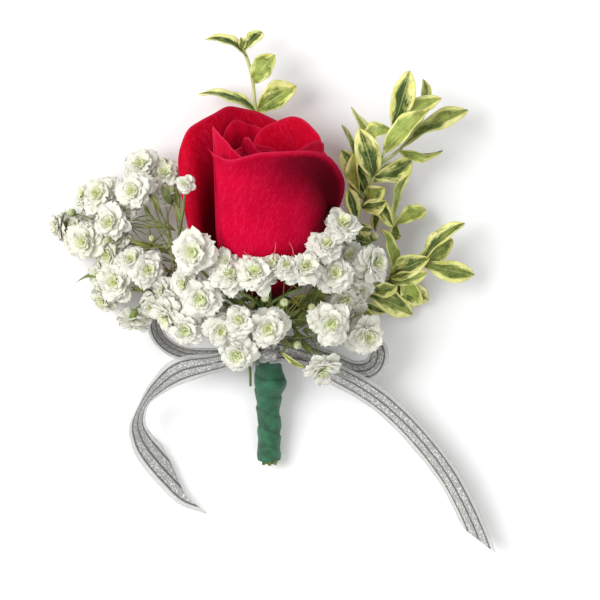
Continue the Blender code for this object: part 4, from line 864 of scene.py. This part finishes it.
rightSpray = dict(slot=6, routes=[
    [(8, -38.5, 19), (15, -31, 24), (22, -24, 27), (27, -15, 28)],
    [(15, -31, 24), (23, -29, 22), (31, -24, 20)], [(8, -38.5, 19), (16, -38, 21), (25, -40, 19)],
    [(8, -38.5, 19), (11, -43, 22), (15.5, -48.5, 24)],
    [(11, -43, 22), (7.6, -46.6, 24), (5.6, -49.6, 24.6)],
], twigs=[
    [(12.6, -42, 23), (15.7, -45.4, 25), (18.2, -50, 24)], [(20, -27, 25), (25, -24, 24), (31, -21, 24)],
    [(18, -30, 25), (24, -31.5, 20), (29, -34, 17)], [(22, -24, 27), (25, -19, 27), (24, -13, 32)],
    [(25, -40, 19), (29, -42, 20), (33, -43, 20)], [(15, -38, 21), (22, -35, 22), (27, -33, 20)],
    [(23, -29, 22), (29, -29, 18), (33, -26, 17)], [(8, -40, 20), (13, -44, 23), (20, -44, 27)],
], bracts=[
    ((16, -32, 24), (21.5, -29, 26), 2, 10, 0.1), ((20, -38, 21), (27, -37, 19), 2.1, -10, 0.1),
    ((12, -40, 22), (19, -41.5, 24), 2, 10, 0.1), ((24, -21, 27), (29.6, -15, 27), 2.1, 10, 0.1),
    ((14, -36, 23), (19, -33.4, 26), 1.8, -12, 0.1), ((12, -44, 23), (15, -50, 23), 1.7, 8, 0.1),
], hubs=[(11, -38, 20), (15, -31, 24), (9, -42, 22)], leaves=[
    ((5.8, -49.4, 24.6), (13.4, -54.6, 22.4), 1.5, 20, 0.1),
], florets=[
    (19.8, -15, 38.5, 10.7, 25, 70), (25, -8.8, 35.5, 12.6, 40, 75), (22.6, -24, 35.5, 12.9, 14, 60),
    (27.5, -18.2, 28, 11.1, 20, 90), (34.9, -20.3, 27, 12.8, 48, 5), (30.6, -23.6, 22.5, 11.4, 30, 330),
    (30, -28.4, 18, 11.4, 35, 320), (26.2, -31.8, 21.5, 11.9, 25, 270), (28.6, -36, 19, 10.5, 60, 300),
    (21.3, -39.5, 32, 13.4, 12, 300), (33, -43.8, 22.5, 12.9, 30, 320), (18.6, -54.4, 25, 12.1, 62, 292),
    (35.6, -11.8, 20, 3.2, 60, 60), (15.4, -34.6, 31, 3.2, 15, 60),
])


def facingOf(flowers):
    # unit vector each flower looks along, from its lean off the vertical and its bearing
    lean, bearing = np.radians(flowers[:, 4]), np.radians(flowers[:, 5])
    return np.stack([np.sin(lean) * np.cos(bearing), np.sin(lean) * np.sin(bearing), np.cos(lean)], axis=-1)


def flowerTurns(flowers):
    return turnTo(facingOf(flowers), (0.0, 1.0, 0.0))


def addFlorets(store, flowers, ageAndShade):
    # every petal of one ring of every flower at once: along a petal its direction turns from the rise at
    # the root to the rise at the tip; its outline is a claw that widens into a round, notched paddle, and
    # a ripple folds it across
    rows, columns = floret["petalRows"], floret["petalColumns"]
    size = flowers[:, 3, None]
    solid = size[..., None, None]
    v = (1 - (1 - np.linspace(0, 1, rows)) ** 1.4)[None, None, :]
    step = np.diff(v, axis=-1, prepend=0.0)
    u = np.linspace(-1, 1, columns)[None, None, None, :]
    paddle = floret["claw"] + (1 - floret["claw"]) * fade(v, 0, floret["clawEnd"])
    rounding = ((v - floret["roundFrom"]) / floret["roundOver"]).clip(0)
    paddle = paddle * np.sqrt(np.clip(1 - rounding ** 2, 0.05, 1))
    for level, ring in enumerate(petalRings):
        number = ring["number"]
        shape = (len(flowers), number)
        reach = size * ring["reach"] * chance.uniform(*floret["reach"], shape)
        width = size * ring["width"] * chance.uniform(*floret["width"], shape)
        spin = fullTurn * (np.arange(number) + 0.5 * (level % 2)) / number
        spin = spin + chance.uniform(-floret["spin"], floret["spin"], shape)
        spin = spin + chance.uniform(0, 6.28, (len(flowers), 1))
        low, high = ring["rise"]
        stray = chance.normal(0, floret["slope"], shape)[..., None]
        slope = np.radians(low + (high - low) * v ** 1.2 + stray)
        outward = np.cumsum(np.cos(slope) * step, axis=-1) * reach[..., None] + 0.01 * size[..., None]
        upward = np.cumsum(np.sin(slope) * step, axis=-1) * reach[..., None]
        fold = chance.uniform(0, 6.28, shape)[..., None, None]
        ripple = (0.10 * np.sin(2.6 * u + fold) + 0.05 * np.sin(5.0 * u + 1.7 * fold)) * v[..., None]
        ripple = (ripple + 0.05 * u ** 2) * width[..., None, None]
        notch = floret["notch"] * (0.5 + 0.5 * np.cos(fullTurn * u)) + floret["ragged"] * np.sin(fold + 3 * u)
        radial = outward[..., None] * (1 - notch * v[..., None] ** 4) - np.sin(slope)[..., None] * ripple
        lift = upward[..., None] + (ring["height"] - floret["sink"]) * solid
        lift = lift + np.cos(slope)[..., None] * ripple
        sideways = 0.5 * (width[..., None] * paddle)[..., None] * u
        ca, sa = np.cos(spin)[..., None, None], np.sin(spin)[..., None, None]
        local = np.stack([radial * ca - sideways * sa, radial * sa + sideways * ca, lift], axis=-1)
        points = placed(local, flowerTurns(flowers), flowers[:, :3]).reshape(-1, rows, columns, 3)
        # how far out each point lies, as a share of the flower, goes with the petal as its second coordinate
        spread = outward[..., None] / (0.5 * solid) * np.ones_like(u)
        uv = mapOf((u + 1) / 2, spread).reshape(-1, rows, columns, 2)
        addBlades(store, points, floret["wall"], uv, np.repeat(ageAndShade, number)[:, None, None])


def addTurned(store, flowers, form):
    # one small turned form for each flower: its profile round its own axis, ribbed where it has lobes
    angle = roundAngles(form["sides"])
    profile = np.array(form["profile"]) * flowers[:, 3, None, None] * form["scale"]
    height = np.repeat(profile[..., 1:], form["sides"], axis=-1)
    radius = profile[..., :1] * (1 + form["ribs"] * np.cos(form["lobes"] * angle))
    local = np.stack([radius * np.cos(angle), radius * np.sin(angle), height], axis=-1)
    uv = mapOf(angle / fullTurn, np.linspace(0, 1, len(form["profile"]))[:, None])
    addRings(store, placed(local, flowerTurns(flowers), flowers[:, :3]), uv, form["tintAndShade"])


def addStalks(store, flowers, share, paths):
    # thin stalks: each leaves its flower's foot backwards and bends into the stem that is nearest behind it;
    # the path is the parabola foot * (1 - t) ** 2 + control * 2 * t * (1 - t) + end * t ** 2;
    # the first points of a stem lie in the bundle or in the stem it branches from, so they are left out
    inBundle, inStem = 9, 2
    spots = np.concatenate([path[inStem if number else inBundle:] for number, path in enumerate(paths)])
    facing = facingOf(flowers)
    feet = flowers[:, :3] - facing * share * flowers[:, 3:4]
    t = np.linspace(0, 1, thread["points"])[:, None]
    for foot, ahead in zip(feet, facing):
        reach = spots - foot
        cost = np.linalg.norm(reach, axis=1) + thread["ahead"] * np.maximum(reach @ ahead, 0)
        end = spots[np.argmin(cost + thread["upward"] * np.maximum(reach[:, 1], 0))]
        control = foot - ahead * thread["bend"] * np.linalg.norm(end - foot)
        path = foot * (1 - t) ** 2 + control * 2 * t * (1 - t) + end * t ** 2
        path = np.vstack([foot + ahead * thread["inset"], path])
        addThread(store, path, "stalk", chance.uniform(0, 0.35) ** 2)
    return feet


def addThread(store, path, kind, tintAndShade, sides=6):
    addTube(store, path, np.linspace(*thread[kind], len(path)), sides, float(tintAndShade))


def buildSpray(name, spray, node):
    rows = np.array(spray["florets"], float)
    isFlower = rows[:, 3] >= floret["smallest"]
    flowers, buds = rows[isFlower], rows[~isFlower]
    petals, stems = newStore(), newStore()
    # painted shade makes lower flowers creamier, and a little chance adds random ageing:
    # age = least + gain * depth + a little chance
    least, gain, stray = floret["ageAndShade"]
    top, depth = floret["shadeHeight"]
    ageAndShade = least + gain * np.clip((top - flowers[:, 2]) / depth, 0, 1)
    ageAndShade = ageAndShade + chance.uniform(0.0, stray, len(flowers))
    addFlorets(petals, flowers, ageAndShade)
    paths = addStems(stems, spray["routes"], spray["slot"])
    addTurned(stems, flowers, cup)
    feet = addStalks(stems, flowers, floret["foot"], paths)
    # a second, finer stalk runs from one of the spray's hubs to every flower
    for number, foot in enumerate(feet):
        hub = spray["hubs"][number % len(spray["hubs"])] + chance.normal(0, thread["hubStray"], 3)
        middle = (hub + foot) / 2 + chance.normal(0, thread["stray"], 3) - (0, 0, thread["sag"])
        addThread(stems, smoothPath([hub, middle, foot], 6), "fine", chance.uniform(0, 0.2))
    for twig in spray["twigs"]:
        path = smoothPath(twig, 6)
        addThread(stems, path, "twig", chance.uniform(0, 0.1))
        paths.append(path)
    for hair in spray.get("hairs", []):
        addThread(stems, smoothPath(hair, 5), "hair", 1.0, sides=5)
    addTurned(petals, buds, bud)
    addTurned(stems, buds, budCup)
    addStalks(stems, buds, floret["budFoot"], paths)
    makePiece(name + "Flowers", petals, floretWhite, [node])
    addLeaves(stems, spray["bracts"], paths, bract)
    makePiece(name + "Stems", stems, sprayGreen)
    return paths


buildSpray("leftSpray", leftSpray, "gypsophila_left")
buildSpray("centreSpray", centreSpray, "gypsophila_centre")
rightPaths = buildSpray("rightSpray", rightSpray, "gypsophila_right")
print("gypsophila built")


# ---- boxwood

topStem = dict(slot=3, thick=1.35, routes=[
    [(4, -36, 7.5), (9.5, -22, 2.9), (11.5, -6, 1.4), (9.5, 11, 2.2), (3, 22, 5.6), (-2.4, 29, 9.5),
     (-3.9, 40, 13), (-5.8, 46.6, 14.4), (-7.1, 49.4, 14.6)],
], leaves=[
    ((-6, 46.4, 14.4), (-18.5, 52.8, 16.6), 5, 55, 0.14),
    ((-6.6, 48.2, 14.5), (-0.5, 54.6, 13), 4.4, -25, 0.16),
    ((-7.1, 49, 14.6), (-7.6, 52.6, 16), 2.6, 10, 0.1), ((-3.8, 39, 12.8), (3.4, 47, 16.6), 6.6, -12, 0.1),
    ((-2.5, 29.5, 9.6), (-21.2, 35.6, 8.6), 5.6, 52, 0.1),
    ((-2.4, 28.6, 9.4), (10.4, 37.2, 12.5), 8, -14, 0.1),
])
upperStem = dict(slot=5, routes=[
    [(8, -37.5, 11.5), (17, -29, 11), (25.5, -17, 12), (32.4, 0, 14), (36.6, 10, 16.5), (39.9, 18, 18),
     (42.3, 25.8, 19.5)],
    [(37.2, 11.5, 16.8), (44.6, 17.2, 15.5), (50.6, 25.6, 15)],
    [(32.4, 0, 14), (37, 1.2, 13), (40.6, -2.2, 11.8), (42.9, -7.6, 10.2)],
], leaves=[
    ((41, 23.4, 19.2), (47, 41.4, 22.5), 6.8, 10, 0.08),
    ((42, 25.2, 19.4), (57.4, 32.4, 18), 6.4, -46, 0.1),
    ((50.2, 25.4, 15), (52, 39.4, 14.5), 4.4, 50, 0.06),
    ((39.2, 15.4, 17.8), (53.8, 28.4, 22), 6.8, -28, 0.08),
    ((45, 17.6, 15.4), (65.9, 30.4, 13), 6.4, -38, 0.07), ((35.4, 8, 16), (48, 13.2, 12.5), 6.2, 24, 0.1),
    ((43.2, 16, 15.6), (57.9, 16.8, 11), 4.2, 52, 0.12),
    ((34.4, 7.4, 16.4), (31, 22.8, 21.5), 7.6, 8, 0.08),
    ((41.6, 22.8, 19), (32.4, 21.6, 16), 5.4, 20, 0.14),
    ((35.6, 8.6, 15.6), (28.6, 30.6, 12.5), 5.2, 50, 0.05),
    ((32.6, 1.6, 13.8), (24.8, 24.6, 9), 5.2, 48, 0.05),
    ((32.8, 2.6, 14.4), (25.2, 16.6, 12), 6.8, 12, 0.08),
    ((31.8, -0.6, 14.2), (28.4, 14.8, 18), 5, -50, 0.08),
    ((35.4, 5.6, 15.6), (42.6, 11.4, 10.5), 5.4, 25, 0.1),
    ((32.4, 0.6, 14.6), (38.8, 4, 19.5), 5.6, -10, 0.1),
    ((29.6, -6.6, 13.6), (26.9, 4, 17), 4.4, 15, 0.12), ((32, -1.4, 13.8), (39.6, -0.4, 17), 5.2, 20, 0.1),
    ((42.6, -6.6, 10.4), (47.4, 10.6, 8), 5, 58, -0.14),
    ((42.8, -7.2, 10.2), (52.8, -2.6, 6.5), 5.4, -24, 0.1),
    ((37.2, 1, 13), (42.2, -8.6, 15.5), 4.4, 25, 0.08),
    ((37.8, 0.6, 12.8), (37.2, -9.8, 8.5), 4.4, 52, 0.08),
    ((42.9, -7.4, 10.2), (43, -12.6, 7), 3.6, 20, 0.1),
    ((27.4, -12.8, 12.4), (35, -13.6, 9.5), 7, 10, 0.1),
    ((29.4, -7.4, 13.6), (34.8, -9.6, 11.5), 3.6, 20, 0.3),
])
lowerStem = dict(slot=4, routes=[
    [(9, -39.5, 9), (18, -36, 8.5), (29, -31, 9.5), (36, -27.6, 11), (42, -24.4, 12), (48.6, -21.2, 12.8),
     (52.4, -19.6, 13)],
], leaves=[
    ((51, -20.6, 13), (68.6, -24, 8.5), 6.4, 14, 0.1), ((51.4, -20, 13), (64.8, -7.4, 16.5), 6, -52, 0.1),
    ((48.8, -20.8, 12.8), (61.6, -12.6, 9.5), 6, 12, 0.1),
    ((40.8, -24.6, 12), (53, -18.6, 17), 6.8, -14, 0.1), ((41.4, -24, 12), (39, -9.2, 15), 5.2, 45, 0.08),
    ((40, -25.6, 11.8), (52.6, -23.6, 16.5), 5.4, 30, 0.08),
    ((16, -36.4, 8.5), (8.5, -31, 22), 5.6, 10, 0.1), ((20, -35.2, 8.6), (16.4, -27.5, 20), 5.6, -10, 0.1),
    ((14, -37.4, 8.6), (3, -33.6, 21), 5.2, 15, 0.1), ((24, -33, 9), (20, -44.6, 15), 5, 10, 0.1),
    ((39.4, -26.2, 11.6), (54.4, -32.4, 0.3), 6.4, 6, 0.12),
    ((32.6, -29.6, 10.2), (48, -37, 3), 6.8, -10, 0.14),
    ((33.4, -29.2, 10.6), (43.4, -27, 14.5), 5.6, 30, 0.1),
    ((28.6, -31.4, 9.4), (39.6, -35.4, 6), 4, 50, 0.08),
    ((28.2, -31.8, 9.4), (37.2, -38.4, 4), 4.2, 45, 0.08),
    ((44.8, -23.2, 12.2), (50, -34, 2.2), 6, 10, 0.12),
])


def buildLeafyStem(name, spec, node):
    leaves, stems = newStore(), newStore()
    paths = addStems(stems, spec["routes"], spec["slot"], spec.get("thick", 1.0))
    addLeaves(leaves, spec["leaves"], paths, blade)
    makePiece(name + "Leaves", leaves, leafGreen, [node])
    makePiece(name + "Twigs", stems, woodyGreen)


buildLeafyStem("boxwoodTop", topStem, "boxwood_top")
buildLeafyStem("boxwoodUpper", upperStem, "boxwood_upper_right")
buildLeafyStem("boxwoodLower", lowerStem, "boxwood_lower_right")
store = newStore()
addLeaves(store, rightSpray["leaves"], rightPaths, blade)
makePiece("rightSprayLeaves", store, leafGreen)
print("boxwood built")


# ---- green rose stem, sepals and hip keep their solid; floral tape

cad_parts["rose_stem"].data.materials.clear()
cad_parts["rose_stem"].data.materials.append(roseGreen)

# bulges: where along the tape, over what length, how much, and how much more at one side
# the fold and edge shares set how dark the painted shade is in the creases and under each lap's edge
tape = dict(cutBack=1.5, radius=3.62, bore=3.3, laps=7.0, lapWave=0.10, lapEdge=0.1, step=0.34,
            bulges=[(0.62, 0.10, 1.5, 0.55), (0.86, 0.10, 0.675, 0.0)], crease=0.12, dent=0.13, slant=0.12,
            foldShade=0.40, lapEdgeShade=0.6, rows=230, columns=72)


def buildTape():
    # a tube along the bundle: each lap is a shallow step that winds round, the middle is fuller,
    # and creases run round it; the bore is plain and both lips are joined
    start = bundleEnd + bundleAxis * tape["cutBack"]
    length = np.linalg.norm(bundleTop - start)
    along = np.linspace(0, 1, tape["rows"])[:, None]
    turn = roundAngles(tape["columns"])[None, :]
    lap = along * tape["laps"] + turn / fullTurn + tape["lapWave"] * np.sin(turn * 2 + along * 9)
    lap = lap % 1.0
    step = np.where(lap < 1 - tape["lapEdge"], lap / (1 - tape["lapEdge"]), (1 - lap) / tape["lapEdge"])
    crease = np.sin(along * 46 + 1.6 * np.sin(turn + 3.0 * along)) * np.sin(along * 17 + 2 * np.sin(turn * 2))
    slant = np.sin(along * 30 + turn * 2 + 1.5 * np.sin(turn * 3 + 8 * along))
    dent = np.sin(along * 12 + 2.0 * np.cos(turn)) + 0.6 * np.sin(turn * 3 + along * 21)
    radius = tape["radius"] + tape["step"] * step
    for place, span, size, lean in tape["bulges"]:
        radius = radius + size * hump(along, place, span) * (1 - lean * np.cos(turn))
    radius = radius + tape["crease"] * crease + tape["dent"] * dent + tape["slant"] * slant
    # painted shade: darker in the creases and just under the edge of each lap
    fold = tape["foldShade"] * np.clip(0.5 - 0.8 * crease - 0.5 * slant, 0, 1)
    fold = fold + tape["lapEdgeShade"] * np.exp(-step * 12)
    bore = np.full((1, tape["columns"]), tape["bore"])
    radius = np.concatenate([bore, radius, bore, bore])
    # painted shade: the inside of the bore is painted fully dark
    dark = np.concatenate([fold[:1], fold, np.ones((2, tape["columns"]))])
    place = np.concatenate([along[:1], along, along[-1:], along[:1]])
    points = start + bundleAxis * (place * length)[..., None] + roundBundle(turn) * radius[..., None]
    store = newStore()
    addRings(store, points[None], mapOf(turn / fullTurn, place)[None], dark[None], capped=False)
    makePiece("stemTape", store, tapeGreen, ["stem_tape"])


buildTape()
print("tape built")


# ---- ribbon

# flatLength: the four strands as measured below, and 16 mm that the knot hides
ribbon = dict(width=10.0, wall=0.16, across=13, steps=14, least=0.05, flutter=(0.25, 0.16),
              frill=(0.10, 0.55), phase=1.3, flatLength=0.375)
band = dict(place=0.9, radius=4.75, width=5.0, pleat=0.12, rows=9, columns=49)
knot = dict(middle=(0.4, -48.4, 20.0), size=(4.462, 4.074, 2.425), pole=0.06, folds=6, fold=0.07, rows=25,
            columns=48)
# stations: x, y, z of the middle, bearing and slope of the line across in degrees, share of the width left
strands = dict(leftTail=[
    (-1, -48.2, 19.6, 100, 30, 0.5), (-7, -49.8, 19, 104, 40, 0.7), (-15, -52.4, 17, 108, 52, 1),
    (-26.8, -55.2, 14.5, 112, 32, 1), (-34.4, -60.4, 12, 131, 56, 1), (-39.5, -66.4, 10.5, 156, 74, 1),
    (-41.5, -72.3, 9, 176, 64, 1), (-40.2, -77.7, 7.5, 197, 46, 1), (-37.2, -82.6, 6, 214, 28, 1),
    (-31.2, -89.8, 4, 221, 20, 0.72), (-24.6, -96, 3.2, 224, 18, 0.36), (-16, -99, 2.6, 226, 15, 0.06),
], rightTail=[
    (1, -48.4, 19.6, 70, 30, 0.5), (6.5, -49.6, 18.4, 64, 40, 0.7), (15.5, -52.4, 15.4, 58, 45, 1),
    (32.3, -61.4, 11.5, 56, 42, 1), (42.2, -69, 9.4, 46, 43, 1), (50.8, -77.7, 8.2, 41, 44, 1),
    (58.4, -87.5, 7.2, 33, 45, 1), (63.6, -96.2, 6.4, 25, 46, 1), (68, -105.2, 5.6, 20, 45, 0.96),
    (70.4, -111, 4.8, 18, 44, 0.5), (72, -115.6, 4.2, 16, 42, 0.06),
], leftLoop=[
    (-1, -48.8, 19, 262, 30, 0.6), (-8, -50.2, 15.5, 262, 50, 0.9), (-20, -50.4, 11.6, 264, 64, 1),
    (-28.6, -48.8, 10.4, 240, 64, 1), (-33.6, -45.2, 10.2, 210, 64, 1), (-35.4, -40.8, 10.2, 182, 64, 1),
    (-34.2, -37.2, 10.2, 140, 66, 1), (-29, -36.6, 10.2, 85, 68, 1), (-19, -40.8, 10.8, 66, 68, 1),
    (-10, -45.4, 13, 62, 62, 0.9), (-1.4, -48, 18.6, 74, 40, 0.6),
], rightLoop=[
    (1, -48.4, 19, 280, 30, 0.6), (9, -48.6, 16.4, 262, 40, 0.9), (20, -51.8, 12.4, 246, 52, 1),
    (29, -55.4, 10.4, 262, 50, 1), (34.8, -54.6, 10, 300, 48, 1), (37, -50.4, 10, 350, 50, 1),
    (35.2, -46.4, 10, 405, 56, 1), (29, -44.8, 10, 440, 64, 1), (19, -45.4, 10.6, 452, 66, 1),
    (10, -46.4, 12.6, 456, 60, 0.9), (1.4, -47.8, 18.6, 452, 40, 0.6),
])


def strandSurface(stations, phase):
    # a strip carried along its stations: across it runs the line given by bearing and slope,
    # bowed a little, with slow flutter along its edges
    rows = smoothPath(stations, ribbon["steps"])
    middle, bearing, slope = rows[:, :3], np.radians(rows[:, 3]), np.radians(rows[:, 4])
    left = np.clip(rows[:, 5], ribbon["least"], 1.0)[:, None]
    level = np.cos(slope)
    across = np.stack([level * np.cos(bearing), level * np.sin(bearing), np.sin(slope)], axis=1)
    normal = unit(np.cross(across, unit(np.gradient(middle, axis=0))))
    outer = middle + across * ribbon["width"] * 0.5
    share = np.linspace(0, 1, ribbon["across"])[None, :]
    points = outer[:, None] - across[:, None] * (ribbon["width"] * left * (1 - share))[..., None]
    length = runLength(middle)[:, None]
    (slow, slowRate), (quick, quickRate) = ribbon["flutter"], ribbon["frill"]
    flutter = slow * np.sin(length * slowRate + phase) * (2 * share - 1) ** 2
    flutter = flutter + quick * np.sin(length * quickRate + 2 * phase) * (2 * share - 1) ** 4
    points = points + normal[:, None] * flutter[..., None]
    return points, mapOf(1 - left * (1 - share), length), float(length[-1, 0])


def addBand(store):
    # pleated band round the bundle under the knot
    turn = np.linspace(0, fullTurn, band["columns"])[None, :]
    place = np.linspace(-0.5, 0.5, band["rows"])[:, None] * band["width"]
    radius = band["radius"] + band["pleat"] * np.sin(place * 5 + np.sin(turn * 2))
    centre = bundleEnd + (bundleTop - bundleEnd) * band["place"]
    rise = bundleAxis * np.broadcast_to(place, radius.shape)[..., None]
    points = centre + roundBundle(turn) * radius[..., None] + rise
    uv = mapOf(place / ribbon["width"] + 0.5, turn * band["radius"])
    addBlades(store, points[None], ribbon["wall"], uv[None])


def addKnot(store):
    # gathered knot: an ellipsoid whose girth is folded, more towards its waist than at its poles
    polar = np.linspace(knot["pole"], np.pi - knot["pole"], knot["rows"])[:, None]
    turn = roundAngles(knot["columns"])[None, :]
    girth = 1 + knot["fold"] * np.sin(turn * knot["folds"] + 2.0 * np.sin(polar * 2)) * np.sin(polar)
    ball = np.stack([np.cos(turn) * np.sin(polar) * girth, np.sin(turn) * np.sin(polar) * girth,
                     -np.cos(polar) * np.ones_like(turn)], axis=-1)
    points = ball * np.array(knot["size"]) + np.array(knot["middle"])
    addRings(store, points[None], mapOf(0.2 + 0.6 * turn / fullTurn, polar * 4)[None])


def buildRibbon():
    strips, tied = newStore(), newStore()
    total = 0.0
    for number, stations in enumerate(strands.values()):
        points, uv, length = strandSurface(stations, number * ribbon["phase"])
        addBlades(strips, points[None], ribbon["wall"], uv[None])
        total += length
    bow = makePiece("ribbonBow", strips, organza, ["ribbon_bow"])
    addBand(tied)
    addKnot(tied)
    tie = makePiece("ribbonKnot", tied, organza)
    print("ribbon strands measure", round(total, 1), "mm")


buildRibbon()
print("ribbon built")


# ---- surface, light and camera

studio = dict(camera=(12.0, -22.8, 900.0), lens=163.7, sensor=36.0, clip=(0.01, 10.0), floor=0.94,
              floorSize=6.0, world=0.64, key=(-0.62, 0.14, 0.78), keySize=0.72, keyPower=8.3,
              fill=(0.5, -0.7, 0.9), fillSize=0.9, fillPower=2.6)


def makeFloor():
    colour = (studio["floor"],) * 3 + (1.0,)
    material = startMaterial("paleFloor", **{
        "Base Color": colour, "Roughness": 0.9, "Specular IOR Level": 0.1})[0]
    bpy.ops.mesh.primitive_plane_add(size=studio["floorSize"], location=(0, 0, 0))
    floor = bpy.context.object
    floor.name = "floor"
    floor.data.materials.append(material)


def addLight(name, place, size, power):
    # soft round lamp that looks at the middle of the object
    lamp = bpy.data.lights.new(name, "AREA")
    lamp.shape = "DISK"
    lamp.size, lamp.energy = size, power
    light = bpy.data.objects.new(name, lamp)
    light.location = place
    light.rotation_euler = Vector([-c for c in place]).to_track_quat("-Z", "Y").to_euler()
    bpy.context.scene.collection.objects.link(light)


def makeStudio():
    makeFloor()
    scene = bpy.context.scene
    scene.world = bpy.data.worlds.new("studio")
    scene.world.use_nodes = True
    background = scene.world.node_tree.nodes["Background"]
    background.inputs["Color"].default_value = (1.0, 1.0, 1.0, 1.0)
    background.inputs["Strength"].default_value = studio["world"]
    addLight("keyLight", studio["key"], studio["keySize"], studio["keyPower"])
    addLight("fillLight", studio["fill"], studio["fillSize"], studio["fillPower"])
    lens = bpy.data.cameras.new("camera")
    lens.lens, lens.sensor_width = studio["lens"], studio["sensor"]
    lens.clip_start, lens.clip_end = studio["clip"]
    scene.camera = bpy.data.objects.new("camera", lens)
    scene.camera.location = [c * mm for c in studio["camera"]]
    scene.collection.objects.link(scene.camera)
    scene.view_settings.view_transform = "Standard"


makeStudio()
print("stage, lights and camera made")
